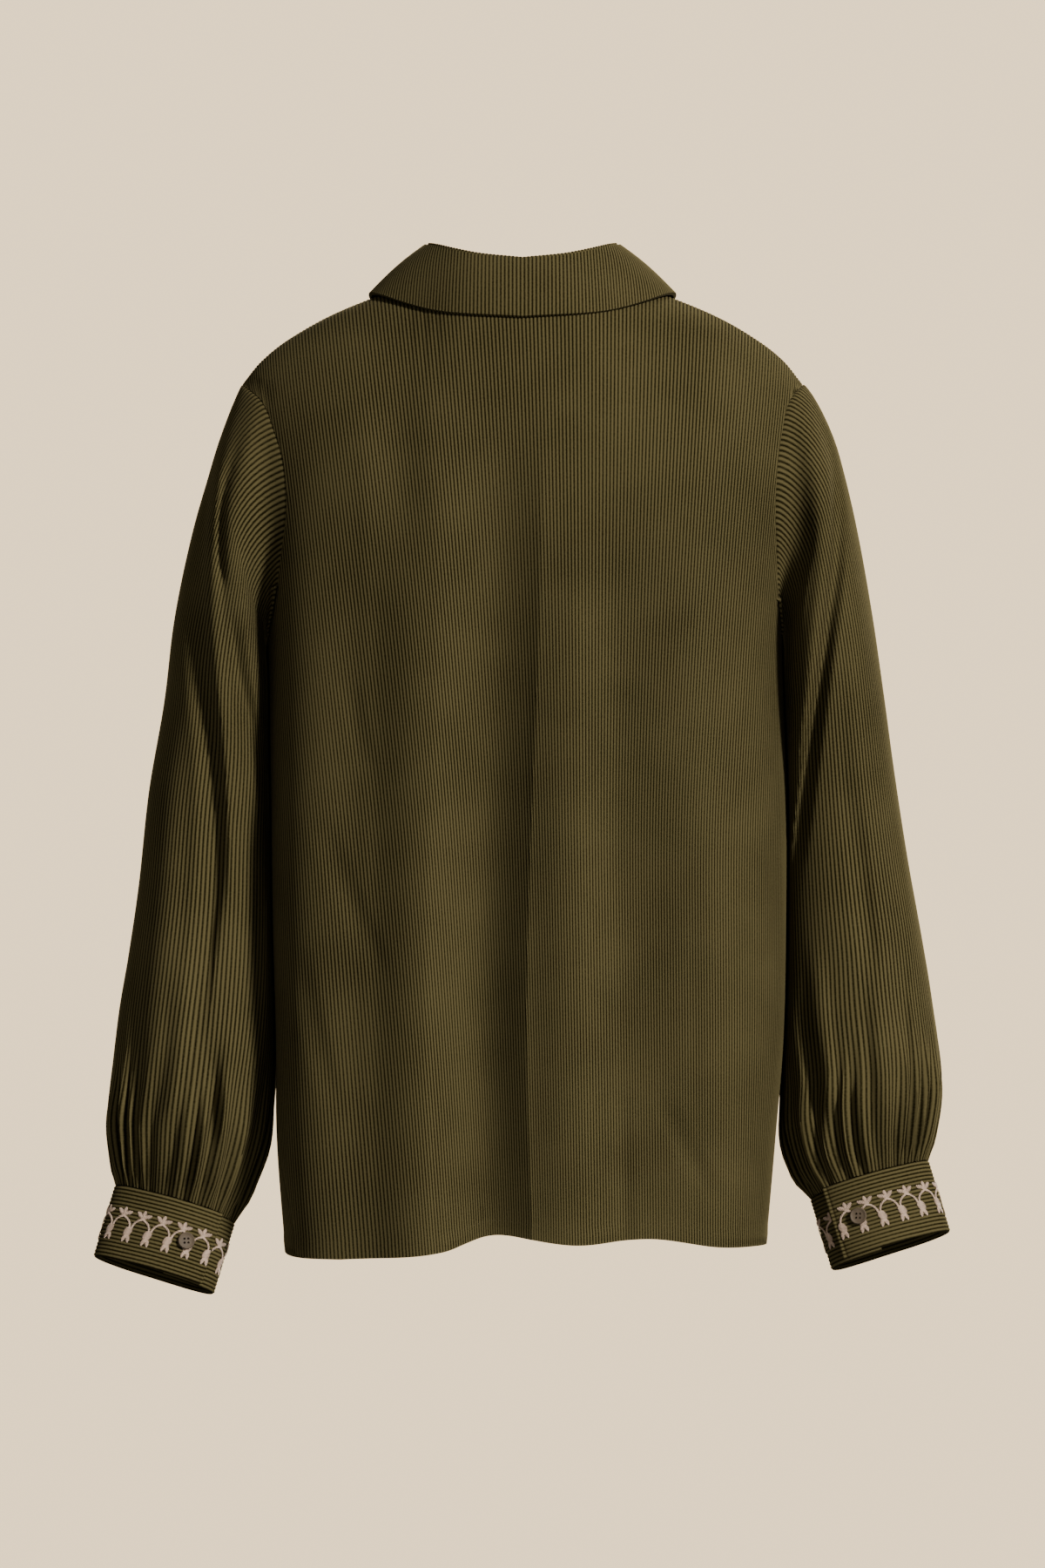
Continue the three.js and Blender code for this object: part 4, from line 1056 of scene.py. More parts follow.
class Sleeve:
    """A sleeve's cloth, its columns of points on its wales."""

    WALES = 116
    ROWS = 96
    SAMPLES = 721
    EVEN_TO = (0.7, 0.84)

    def __init__(self, form: SleeveForm, finish: bpy.types.Material) -> None:
        """Keeps the sleeve's form and finish."""
        self.form = form
        self.finish = finish

    def turns(self, at: Array) -> Array:
        """Turns that are evenly spaced along the cloth, for each row from slit to slit."""
        samples = np.linspace(0, 1, self.SAMPLES)
        half = (self.SAMPLES - 1) // 2
        wanted = (np.arange(2 * self.WALES + 1) / (2 * self.WALES) + SLIT_TURN) % 1
        rows = []
        for place in at:
            ring = self.form.ring(np.full(self.SAMPLES, place))
            points = self.form.ring_point(ring, samples, np.zeros(self.SAMPLES))
            points = mix(self.form.seam(samples), points, self.form.head_share(place))
            length = walked_along(points)
            first = length[: half + 1] / length[half] * 0.5
            second = 0.5 + (length[half:] - length[half]) / (length[-1] - length[half]) * 0.5
            even = np.interp(wanted, np.concatenate([first, second[1:]]), samples)
            turn = mix(even, wanted, soft(place, *self.EVEN_TO))
            over = np.diff(np.concatenate([[turn[0]], turn])) < -0.5
            rows.append(turn + np.cumsum(over))
        return np.array(rows)

    def build(self) -> bpy.types.Object:
        """Builds the sleeve with its wales, open along its slit."""
        hand = self.form.hand
        at = np.linspace(0, 1, self.ROWS + 1)
        turn = self.turns(at)
        turn[:, -1] -= 1e-5
        v = np.repeat(at[:, None], turn.shape[1], axis=1)
        normals = slopes(self.form.surface, turn, np.clip(v, 0.012, 0.998), self.away)
        points = self.form.surface(turn, v)
        step = unit(points[1] - points[0])
        points[0] -= normals[0] * SEAM_SUNK
        ridge = wale_ridge(np.arange(turn.shape[1]))
        points += normals * (ridge * soft(v, 0.0, 0.02))[..., None]
        points = self.open_slit(points, v)
        tucked = points[0] - step * SEAM_ALLOWANCE - normals[0] * CLOTH
        points = np.concatenate([tucked[None], points])
        normals = np.concatenate([normals[:1], normals])
        across = np.broadcast_to(np.arange(turn.shape[1]) / 2.0, points.shape[:2])
        marks = np.stack([across, points[..., 2] / WALE], axis=-1)
        name = f"sleeve_cloth_{hand.word}"
        return ClothMesh(name, CLOTH, self.finish).build(points, normals, marks)

    def away(self, here: Array, _: Array) -> Array:
        """A rough direction out of the sleeve, from its middle line."""
        outer = self.form.rings
        z = here[..., 2]
        middle_z = (outer.columns["outZ"] + outer.columns["inZ"]) / 2
        middle_x = (outer.columns["outX"] + outer.columns["inX"]) / 2
        order = np.argsort(middle_z)
        x = np.interp(z, middle_z[order], middle_x[order]) * self.form.hand.value
        y = np.interp(z, middle_z[order], outer.columns["shift"][order])
        return here - stack(x, y, z)

    def open_slit(self, points: Array, at: Array) -> Array:
        """Moves the slit's two edges apart below its top."""
        gap = mix(SLIT_TOP_GAP, SLIT_BOTTOM_GAP, soft(at[:, 0], SLIT_TOP, 1)) / 2
        gap = (gap * (at[:, 0] > SLIT_TOP))[:, None]
        points[:, 0] += unit(points[:, 1] - points[:, 0]) * gap
        points[:, -1] += unit(points[:, -2] - points[:, -1]) * gap
        return points


class Cuff:
    """A cuff: a band round the wrist, its wales running round it."""

    SAMPLES = 900
    LAP_END, LAP_END_COLUMNS, COLUMNS = 0.02, 9, 150

    def __init__(self, form: SleeveForm, finish: bpy.types.Material) -> None:
        """Keeps the sleeve's form and the finish."""
        self.form = form
        self.finish = finish

    def surface(self, around: Array, down: Array) -> Array:
        """The cuff's surface, from the upper lap's end (0) to the under lap's end (1)."""
        around, down = np.broadcast_arrays(np.asarray(around, float), np.asarray(down, float))
        ring = self.form.ring(np.ones(around.shape))
        turn = SLIT_TURN + around * (1 + LAP_SHARE)
        lift = np.where(around < 0.5, self.form.lap_lift(turn), 0)
        points = self.form.ring_point(ring, turn, CUFF_PROUD + lift)
        reach = CUFF_BELOW + down * CUFF_HIGH + self.form.under_drop(turn)
        return points + reach[..., None] * ring["down"]

    def walked(self) -> tuple[Array, Array]:
        """Shares of the way round the cuff, and how many millimetres of band lie before each."""
        around = np.linspace(0, 1, self.SAMPLES)
        return around, walked_along(self.surface(around, np.full(self.SAMPLES, 0.5)))

    def spot(self, around: Array, down: Array, rise: float) -> tuple[Array, Array]:
        """Places a little off the cuff, and the directions out of it there."""
        around, down = np.asarray(around, float), np.asarray(down, float)
        normals = slopes(self.surface, np.clip(around, 0.002, 0.998), down, self.away)
        return self.surface(around, down) + normals * rise, normals

    def away(self, here: Array, _: Array) -> Array:
        """A rough direction out of the cuff."""
        middle = self.form.ring(np.ones(1))["middle"][0]
        return (here - middle) * FLAT

    def build(self) -> bpy.types.Object:
        """Builds the cuff with its wales."""
        rows = 2 * round(CUFF_HIGH / CUFF_WALE)
        lap_end = np.linspace(0, self.LAP_END, self.LAP_END_COLUMNS)
        columns = np.concatenate([lap_end, np.linspace(self.LAP_END, 1, self.COLUMNS)[1:]])
        around, down = np.meshgrid(columns, np.linspace(0, 1, rows + 1))
        normals = slopes(self.surface, np.clip(around, 0.002, 0.998), down, self.away)
        parity = np.where(np.arange(rows + 1) % 2 == 1, 0.5, -0.5)
        parity[[0, -1]] = -CUFF_EDGE_DOWN
        shares, walked = self.walked()
        past = np.interp(around, shares, walked)
        rolled = np.exp(-(((past - CUFF_ROLL_AT) / CUFF_ROLL_WIDE) ** 2))
        sunk = np.exp(-(((past - CUFF_SUNK_AT) / CUFF_SUNK_WIDE) ** 2))
        wales = (parity * WALE_HIGH)[:, None] * soft(past, CUFF_WALES_FROM, CUFF_WALES_FULL)
        raised = wales + CUFF_ROLL * (rolled - sunk)
        points = self.surface(around, down) + normals * raised[..., None]
        marks = np.stack([(np.arange(rows + 1)[:, None] + 1) / 2 + 0 * around, around * 80], axis=-1)
        name = f"cuff_cloth_{self.form.hand.word}"
        return ClothMesh(name, DOUBLE_CLOTH, self.finish).build(points, normals, marks)


class Collar:
    """The collar's stand and fall."""

    SOFTEN = 26

    def __init__(self, body: BodyForm, finish: bpy.types.Material) -> None:
        """Keeps the body that the collar is sewn to and the finish."""
        self.body = body
        self.finish = finish
        self.turns = np.linspace(-180, 180, 721)
        bell = np.hanning(2 * self.SOFTEN + 1)
        plain = np.pad(self.edge_y(self.turns), self.SOFTEN, mode="edge")
        self.soft_y = np.convolve(plain, bell / bell.sum(), mode="valid")

    @staticmethod
    def neck(turn: Array, shrink: Array) -> tuple[Array, Array]:
        """The plan round of the neck, by degrees turned from the centre back."""
        angle = np.radians(turn)
        deep = np.where(np.cos(angle) > 0, NECK_BACK, NECK_FRONT)
        return (NECK_HALF - shrink) * np.sin(angle), (deep - shrink) * np.cos(angle)

    def stand(self, turn: Array, up: Array) -> Array:
        """The collar stand, from the neck seam up to the fold line."""
        turn, up = np.broadcast_arrays(np.asarray(turn, float) * 100, np.asarray(up, float))
        x, y = self.neck(turn, STAND_INSET + STAND_LEAN * up)
        back = self.body.top_line(Face.BACK, x)[1]
        front = self.body.top_line(Face.FRONT, x)[1]
        low = np.where(np.abs(turn) < 90, back, front) + 2 * SEAM_TRIM
        high = COLLAR_FOLD.read("z", np.abs(turn)) - FALL_ROLL
        over = np.where(turn < 0, STAND_LAP * soft(-turn, STAND_LAP_FROM, STAND_LAP_FULL), 0)
        return stack(x, y - over, mix(low, high, up))

    @staticmethod
    def on_shoulder(turn: Array) -> Array:
        """1 where the fall lies over the shoulder seam, 0 at the centre back and on the chest."""
        return 1 - soft(np.abs(np.abs(turn) - 90), SHOULDER_FULL, SHOULDER_END)

    def edge_y(self, turn: Array) -> Array:
        """Where the fall's outer edge lies, front to back, just off the body."""
        sign = np.where(turn < 0, -1, 1)
        x = sign * FALL_EDGE.read("x", np.abs(turn))
        z = FALL_EDGE.read("z", np.abs(turn))
        y = np.zeros(turn.shape)
        away = FALL_CLEAR * (1 - self.on_shoulder(turn) / 2)
        for hand in Hand:
            for face in Face:
                here = (sign == hand.value) & ((np.abs(turn) <= 90) == (face is Face.BACK))
                y = np.where(here, self.body.y_at(face, hand, x, z) + face.value * away, y)
        return y

    def fall_edge(self, turn: Array) -> Array:
        """The outer edge of the fall."""
        x = np.where(turn < 0, -1, 1) * FALL_EDGE.read("x", np.abs(turn))
        y = np.interp(turn, self.turns, self.soft_y)
        z = FALL_EDGE.read("z", np.abs(turn))
        return stack(x, y, z + FALL_CLEAR * self.on_shoulder(turn))

    def fall(self, turn: Array, share: Array) -> Array:
        """The collar fall, from the stand's top over the fold line to its outer edge."""
        turn, share = np.broadcast_arrays(np.asarray(turn, float) * 100, np.asarray(share, float))
        fold_z = COLLAR_FOLD.read("z", np.abs(turn))
        inner = self.neck(turn, STAND_INSET + STAND_LEAN)
        crest = self.neck(turn, -FALL_CREST)
        start = stack(*inner, fold_z - FALL_ROLL + 2 * SEAM_TRIM)
        top = stack(*crest, fold_z)
        rolled = np.clip(share / FALL_ROLL_SHARE, 0, 1)
        down = np.clip((share - FALL_ROLL_SHARE) / (1 - FALL_ROLL_SHARE), 0, 1)
        bulge = mix(FALL_BULGE, FALL_SIDE_BULGE, self.on_shoulder(turn)) * np.sin(math.pi * down)
        outer = mix(top, self.fall_edge(turn), down[..., None]) + stack(0, 0, bulge)
        roll = mix(start, top, rolled[..., None])
        return np.where((share <= FALL_ROLL_SHARE)[..., None], roll, outer)

    def build(self) -> list[bpy.types.Object]:
        """Builds the stand and the fall with their wales."""
        stand = self.band("collar_stand_cloth", self.stand, STAND_END, np.linspace(0, 1, 11))
        over_fold = np.linspace(0, FALL_ROLL_SHARE, 6)
        rows = np.concatenate([over_fold, np.linspace(FALL_ROLL_SHARE, 1, 24)[1:]])
        fall = self.band("collar_fall_cloth", self.fall, FALL_END, rows)
        return [stand, fall]

    def band(self, name: str, surface: Surface, end: float, rows: Array) -> bpy.types.Object:
        """Builds one band with its wales across it.

        Args:
            name: the piece's name.
            surface: its surface, by hundreds of degrees turned and a share across.
            end: how far it turns to each side, in degrees.
            rows: the share across of each row.

        Returns:
            The finished object.
        """
        fine = np.linspace(-end, end, 1001) / 100
        u_fine, v_fine = np.meshgrid(fine, rows)
        line = surface(u_fine, v_fine) * FLAT
        length = np.cumsum(np.linalg.norm(np.diff(line, axis=1), axis=-1), axis=1)
        length = np.concatenate([np.zeros((len(rows), 1)), length], axis=1)
        length -= length[:, 500:501]
        reach = math.ceil(length.max() / WALE * 2)
        columns = np.arange(-reach, reach + 1)
        u = np.array([np.interp(columns * WALE / 2, along, fine) for along in length])
        v = np.repeat(rows[:, None], len(columns), axis=1)
        normals = slopes(surface, u, np.clip(v, 0.02, 0.98), lambda here, _: here * FLAT)
        points = surface(u, v) + normals * (wale_ridge(columns) * np.ones(u.shape))[..., None]
        marks = np.stack([np.broadcast_to(columns / 2.0, u.shape), v * 20], axis=-1)
        return ClothMesh(name, DOUBLE_CLOTH, self.finish).build(points, normals, marks)


class Threads:
    """Short threads that lie on the cloth, gathered in one piece."""

    HEIGHT, HALF_LENGTH = 0.8, 0.54

    def __init__(self, name: str, radius: float, finish: bpy.types.Material) -> None:
        """Starts with no threads."""
        self.name = name
        self.radius = radius
        self.finish = finish
        self.lying: list[tuple[Array, Array, Array]] = []

    def lay(self, starts: Array, ends: Array, normals: Array) -> None:
        """Adds threads by their ends and the directions out of the cloth."""
        self.lying += list(zip(starts, ends, normals))

    def build(self) -> bpy.types.Object:
        """Builds the piece, each thread a thin spindle."""
        shape = bmesh.new()
        bmesh.ops.create_uvsphere(shape, u_segments=6, v_segments=4, radius=1)
        points = np.array([vertex.co[:] for vertex in shape.verts])
        faces = [[vertex.index for vertex in face.verts] for face in shape.faces]
        shape.free()
        starts, ends, normals = (np.array(part) for part in zip(*self.lying))
        across = np.cross(ends - starts, normals)
        across *= self.radius / np.linalg.norm(across, axis=-1, keepdims=True)
        up = normals * self.radius * self.HEIGHT
        turned = np.stack([across, up, (ends - starts) * self.HALF_LENGTH], axis=1)
        places = points @ turned + ((starts + ends) / 2)[:, None, :]
        whole = [
            [index + count * len(points) for index in face]
            for count in range(len(starts))
            for face in faces
        ]
        mesh = bpy.data.meshes.new(self.name)
        mesh.from_pydata((places.reshape(-1, 3) * MM).tolist(), [], whole)
        return finish_mesh(mesh, self.finish, 180.0)


Spot = tuple[float, float]
Stitch = tuple[Spot, Spot]


@dataclass(frozen=True)
class FlowerBorder:
    """The border sewn round a cuff: three-petalled blossoms on arches, with a bell flower at each foot.

    Args:
        first: how far from the upper lap's end the first blossom is, in millimetres.
        pitch: how far apart the blossoms are.
        down: how far below the cuff's top edge the blossoms' middles are.
        radius: a thread's radius.
        edge: how far from the upper lap's end the threads stay, on both its sides.
        shortest: a stitch that is cut shorter than this at the lap's end is left out.
    """

    first: float
    pitch: float = 14.5
    down: float = 19.2
    radius: float = 0.42
    edge: float = 0.7
    shortest: float = 0.5

    @staticmethod
    def leaf(base: Spot, tip: Spot, wide: float, count: int) -> list[Stitch]:
        """Satin stitches across a leaf shape.

        Args:
            base: its lower end, across and down.
            tip: its upper end.
            wide: its greatest width.
            count: how many stitches fill it.

        Returns:
            The stitches.
        """
        (x0, y0), (x1, y1) = base, tip
        along = np.array([x1 - x0, y1 - y0])
        side = np.array([-along[1], along[0]]) / np.linalg.norm(along)
        slant = along / np.linalg.norm(along) * 0.35
        stitches = []
        for share in (np.arange(count) + 0.5) / count:
            half = wide / 2 * math.sin(math.pi * (0.18 + 0.76 * share)) * (side + slant)
            middle = np.array([x0, y0]) + along * share
            stitches.append((tuple(middle - half), tuple(middle + half)))
        return stitches

    @staticmethod
    def rope(path: list[Spot], wide: float, count: int) -> list[Stitch]:
        """Slanting stitches along a path."""
        places = np.array(path)
        share = np.linspace(0, len(path) - 1, count)
        x = np.interp(share, np.arange(len(path)), places[:, 0])
        y = np.interp(share, np.arange(len(path)), places[:, 1])
        along = np.stack([np.gradient(x), np.gradient(y)], axis=-1)
        along /= np.linalg.norm(along, axis=-1, keepdims=True)
        side = np.stack([-along[:, 1], along[:, 0]], axis=-1)
        half = (side * 0.6 + along * 0.8) * wide / 2
        middle = np.stack([x, y], axis=-1)
        return [(tuple(a), tuple(b)) for a, b in zip(middle - half, middle + half)]

    def motif(self) -> list[Stitch]:
        """One blossom with its arch and bell flower, about the blossom's middle."""
        left = [(-0.7, 1.7), (-2.6, 2.5), (-4.6, 4.3), (-5.9, 6.6), (-6.3, 8.6)]
        right = [(0.7, 1.7), (2.7, 2.5), (4.8, 4.2), (6.1, 6.4), (6.5, 8.9)]
        return [
            *self.leaf((0.0, 2.0), (0.1, -2.0), 4.6, 5),
            *self.leaf((-1.2, -0.4), (-5.0, -3.2), 3.3, 5),
            *self.leaf((0.0, -1.2), (0.3, -4.9), 3.0, 5),
            *self.leaf((1.3, -0.4), (5.8, -2.6), 3.3, 5),
            *self.rope(left, 2.5, 9),
            *self.rope(right, 2.5, 9),
            *self.leaf((6.2, 8.2), (6.0, 16.2), 6.4, 10),
            *self.leaf((4.9, 14.6), (3.9, 19.4), 2.9, 6),
            *self.leaf((7.2, 14.6), (8.1, 19.4), 2.9, 6),
        ]

    def sew(self, cuff: Cuff, finish: bpy.types.Material) -> bpy.types.Object:
        """Sews the border on a cuff, all round it up to where its laps meet."""
        shares, walked = cuff.walked()
        last = np.interp(1 / (1 + LAP_SHARE), shares, walked) - self.edge
        stitches = np.array(self.motif())
        threads = Threads(f"flower_border_{cuff.form.hand.word}", self.radius, finish)
        for middle in np.arange(self.first, last, self.pitch):
            x = np.clip(middle - stitches[..., 0], self.edge, last)
            upright = np.ptp(stitches[..., 1], axis=1) * (x.min(axis=1) > self.edge)
            inside = np.ptp(x, axis=1) + upright > self.shortest
            down = (stitches[..., 1] + self.down) / CUFF_HIGH
            around = np.interp(x[inside], walked, shares)
            places, normals = cuff.spot(around, down[inside], WALE_HIGH / 2 + self.radius / 2)
            threads.lay(places[:, 0], places[:, 1], normals[:, 0])
        return threads.build()


@dataclass(frozen=True)
class Button:
    """A four-hole button, its sizes in millimetres.

    Args:
        radius: its radius.
        foot: its underside's radius.
        thick: its thickness.
        rim: how wide its raised rim is.
        dish: how far its middle is sunk.
        hole: a hole's radius.
        spread: how far from the middle each hole is.
        clear: its distance from the cloth.
    """

    radius: float = 5.9
    foot: float = 4.9
    thick: float = 2.6
    rim: float = 1.3
    dish: float = 0.6
    hole: float = 0.78
    spread: float = 1.9
    clear: float = 0.5

    def disc(self) -> bpy.types.Mesh:
        """The round body, its face to +Z."""
        profile = [
            (0.01, 0.0),
            (self.foot, 0.0),
            (self.radius - 0.25, self.thick * 0.28),
            (self.radius, self.thick * 0.55),
            (self.radius - 0.2, self.thick * 0.86),
            (self.radius - 0.6, self.thick),
            (self.radius - self.rim * 0.8, self.thick - 0.08),
            (self.radius - self.rim * 1.25, self.thick - self.dish * 0.7),
            (self.radius - self.rim * 1.8, self.thick - self.dish),
            (0.01, self.thick - self.dish),
        ]
        bm = bmesh.new()
        line = [bm.verts.new((x * MM, 0, z * MM)) for x, z in profile]
        edges = [bm.edges.new(pair) for pair in zip(line, line[1:])]
        bmesh.ops.spin(
            bm,
            geom=line + edges,
            cent=(0, 0, 0),
            axis=(0, 0, 1),
            angle=2 * math.pi,
            steps=40,
            use_merge=True,
        )
        bmesh.ops.holes_fill(bm, edges=bm.edges, sides=40)
        bmesh.ops.recalc_face_normals(bm, faces=bm.faces)
        mesh = bpy.data.meshes.new("button")
        bm.to_mesh(mesh)
        bm.free()
        return mesh

    def drill(self) -> bpy.types.Mesh:
        """The four pins that cut the holes."""
        bm = bmesh.new()
        for index in range(4):
            angle = math.pi / 4 + index * math.pi / 2
            place = Vector((math.cos(angle), math.sin(angle), 0)) * self.spread
            bmesh.ops.create_cone(
                bm,
                cap_ends=True,
                segments=12,
                radius1=self.hole * MM,
                radius2=self.hole * MM,
                depth=4 * self.thick * MM,
                matrix=Matrix.Translation(place * MM),
            )
        mesh = bpy.data.meshes.new("holes")
        bm.to_mesh(mesh)
        bm.free()
        return mesh

    def mesh(self) -> bpy.types.Mesh:
        """The button with its holes cut."""
        collection = bpy.context.scene.collection
        disc = bpy.data.objects.new("button", self.disc())
        pins = bpy.data.objects.new("holes", self.drill())
        for made in (disc, pins):
            collection.objects.link(made)
        cut = disc.modifiers.new("holes", "BOOLEAN")
        cut.object = pins
        cut.solver = "EXACT"
        depsgraph = bpy.context.evaluated_depsgraph_get()
        result = bpy.data.meshes.new_from_object(disc.evaluated_get(depsgraph))
        for made in (disc, pins):
            bpy.data.objects.remove(made)
        return result

    def place(
        self, mesh: bpy.types.Mesh, name: str, at: Array, normal: Array, finish: bpy.types.Material
    ) -> bpy.types.Object:
        """Puts a copy of the button on the cloth.

        Args:
            mesh: the button's mesh.
            name: the piece's name.
            at: the place on the cloth, in millimetres.
            normal: the direction out of the cloth there.
            finish: its finish.

        Returns:
            The placed button.
        """
        copy = mesh.copy()
        copy.name = name
        turn = Vector(normal).to_track_quat("Z", "Y").to_matrix().to_4x4()
        turn.translation = Vector(at + normal * self.clear) * MM
        copy.transform(turn)
        return finish_mesh(copy, finish, 38.0)


@dataclass(frozen=True)
class Sewing:
    """Lines of stitches, in millimetres.

    Args:
        long: a stitch's length.
        pitch: how far apart stitches start.
        radius: the thread's radius.
        hole_long: a buttonhole's length.
        hole_wide: how wide a buttonhole's sewn edges are.
        hole_pitch: how far apart a buttonhole's stitches are.
        hole_slit: how far from the middle a buttonhole's stitches start.
        edge_in: how far inside the front's edge its first line is sewn.
        band_past: how far past the lap's width its second line is sewn.
        count: how many places a line is measured at.
    """

    long: float = 2.3
    pitch: float = 3.1
    radius: float = 0.26
    hole_long: float = 15.0
    hole_wide: float = 3.2
    hole_pitch: float = 0.62
    hole_slit: float = 0.25
    edge_in: float = 2.5
    band_past: float = 1.5
    count: int = 900

    def line(self, threads: Threads, panel: Panel, u: Array, v: Array) -> None:
        """Sews along a line on a panel, by its two coordinates."""
        points = panel.surface(u, v)
        walked = walked_along(points)
        starts = np.arange(1, walked[-1] - self.long, self.pitch)
        ends = []
        for place in (starts, starts + self.long):
            here_u, here_v = np.interp(place, walked, u), np.interp(place, walked, v)
            normals = panel.normals(here_u, here_v)
            lifted = panel.relief(here_u, here_v)[..., None] + WALE_HIGH / 2
            ends.append(panel.surface(here_u, here_v) + normals * lifted)
        threads.lay(ends[0], ends[1], normals)

    def hem(self, threads: Threads, panel: Panel) -> None:
        """Sews a panel's hem."""
        low, high = panel.limits()
        u = np.linspace(low + 0.004, high - 0.004, self.count)
        above = HEM_WIDE / (UNDERARM_Z - HEM_Z)
        self.line(threads, panel, u, np.full(self.count, 2 - above))

    def buttonhole(self, threads: Threads, panel: Panel, z: float) -> None:
        """Sews an upright buttonhole about a height on a front's middle line."""
        count = round(self.hole_long / self.hole_pitch)
        heights = z + (np.arange(count) / (count - 1) - 0.5) * self.hole_long
        for side in (-1, 1):
            edge = panel.at_height(self.hole_slit * side, heights)
            far = panel.at_height(self.hole_wide / 2 * side, heights)
            threads.lay(edge[0], far[0], edge[1])
        for end in (-1, 1):
            rows = z + end * (self.hole_long / 2 + np.array([0.2, 0.8]))
            left = panel.at_height(-self.hole_wide / 2, rows)
            right = panel.at_height(self.hole_wide / 2, rows)
            threads.lay(left[0], right[0], left[1])


def math_node(
    material: bpy.types.Material, operation: str, first: bpy.types.NodeSocket, second: float = 0.0
) -> bpy.types.Node:
    """Adds a math node that is fed by a socket and a number."""
    node = material.node_tree.nodes.new("ShaderNodeMath")
    node.operation = operation
    material.node_tree.links.new(first, node.inputs[0])
    node.inputs[1].default_value = second
    return node


def mixed_colour(
    material: bpy.types.Material, share: bpy.types.NodeSocket, low: Colour, high: Colour
) -> bpy.types.NodeSocket:
    """Mixes two colours by a socket, and gives the mixed colour's socket."""
    colour = material.node_tree.nodes.new("ShaderNodeMix")
    colour.data_type = "RGBA"
    colour.inputs["A"].default_value = (*low, 1)
    colour.inputs["B"].default_value = (*high, 1)
    material.node_tree.links.new(share, colour.inputs["Factor"])
    return colour.outputs["Result"]


def clouded(
    name: str, dark: Colour, light: Colour, scale: float, detail: float = 2.0
) -> bpy.types.Material:
    """Makes a material whose colour is clouded between two.

    Args:
        name: the material's name.
        dark: its darkest colour.
        light: its palest colour.
        scale: how many clouds there are to a metre.
        detail: how finely they are broken up.

    Returns:
        The material.
    """
    made = bpy.data.materials.new(name)
    made.use_nodes = True
    nodes, links = made.node_tree.nodes, made.node_tree.links
    place = nodes.new("ShaderNodeTexCoord")
    noise = nodes.new("ShaderNodeTexNoise")
    noise.inputs["Scale"].default_value = scale
    noise.inputs["Detail"].default_value = detail
    links.new(place.outputs["Object"], noise.inputs["Vector"])
    colour = mixed_colour(made, noise.outputs["Fac"], dark, light)
    links.new(colour, nodes["Principled BSDF"].inputs["Base Color"])
    return made


@dataclass(frozen=True)
class Corduroy:
    """The cloth's finish: pale tops on its wales, and painted shade darkening the grooves between them.

    Args:
        crest: the colour of a wale's top.
        groove_shade: the colour between wales, kept far darker than the cloth as painted shade in the
            grooves.
        mottle: how much the pile changes from wale to wale.
        cloud: how much the cloth changes over a hand's breadth.
    """

    crest: Colour = (0.088, 0.0705, 0.029)
    # Painted shade: the colour between the wales is much darker than the cloth, standing in for the
    # shade that falls in the grooves.
    groove_shade: Colour = (0.0075, 0.006, 0.0018)
    mottle: float = 0.55
    cloud: float = 0.5

    def material(self) -> bpy.types.Material:
        """Builds the material, its grooves darkened with painted shade, its pile mottled a little and
        clouded where it is rubbed.
        """
        made = bpy.data.materials.new("corduroy_cloth")
        made.use_nodes = True
        nodes, links = made.node_tree.nodes, made.node_tree.links
        shader = nodes["Principled BSDF"]
        uv = nodes.new("ShaderNodeUVMap")
        uv.uv_map = "cloth"
        split = nodes.new("ShaderNodeSeparateXYZ")
        links.new(uv.outputs[0], split.inputs[0])
        turn = math_node(made, "MULTIPLY", split.outputs[0], 2 * math.pi)
        wave = math_node(made, "COSINE", turn.outputs[0])
        # The ramp is 0 along the grooves' lines, where the painted shade is strongest, and 1 on the
        # wales' tops.
        ramp = nodes.new("ShaderNodeMapRange")
        ramp.inputs["From Min"].default_value = -1
        ramp.inputs["From Max"].default_value = 0.7
        links.new(wave.outputs[0], ramp.inputs["Value"])
        place = nodes.new("ShaderNodeTexCoord")
        share = ramp.outputs[0]
        for socket, scale, part in (
            (uv.outputs[0], 1.9, self.mottle),
            (place.outputs["Object"], 16.0, self.cloud),
        ):
            noise = nodes.new("ShaderNodeTexNoise")
            noise.inputs["Scale"].default_value = scale
            links.new(socket, noise.inputs["Vector"])
            middle = math_node(made, "SUBTRACT", noise.outputs["Fac"], 0.5)
            part_node = math_node(made, "MULTIPLY_ADD", middle.outputs[0], part)
            links.new(share, part_node.inputs[2])
            share = part_node.outputs[0]
        # Base colour runs from the painted groove shade up to the crest colour on the wales' tops.
        links.new(mixed_colour(made, share, self.groove_shade, self.crest), shader.inputs["Base Color"])
        shader.inputs["Roughness"].default_value = 0.9
        shader.inputs["Specular IOR Level"].default_value = 0.0
        shader.inputs["Sheen Weight"].default_value = 0.05
        shader.inputs["Sheen Roughness"].default_value = 0.4
        shader.inputs["Sheen Tint"].default_value = (0.6, 0.5, 0.3, 1)
        return made


@dataclass(frozen=True)
class Yarn:
    """The finish of sewing and embroidery threads.

    Args:
        name: the material's name.
        colour: the threads' middle colour.
        dark: the share of it in the darkest places.
        light: the share of it in the palest places.
    """

    name: str
    colour: Colour
    dark: float = 0.72
    light: float = 1.2

    def material(self) -> bpy.types.Material:
        """Builds the material, a little uneven from thread to thread."""
        dark = tuple(part * self.dark for part in self.colour)
        light = tuple(min(1, part * self.light) for part in self.colour)
        made = clouded(self.name, dark, light, 900)
        shader = made.node_tree.nodes["Principled BSDF"]
        shader.inputs["Roughness"].default_value = 0.6
        shader.inputs["Specular IOR Level"].default_value = 0.3
        shader.inputs["Sheen Weight"].default_value = 0.2
        return made


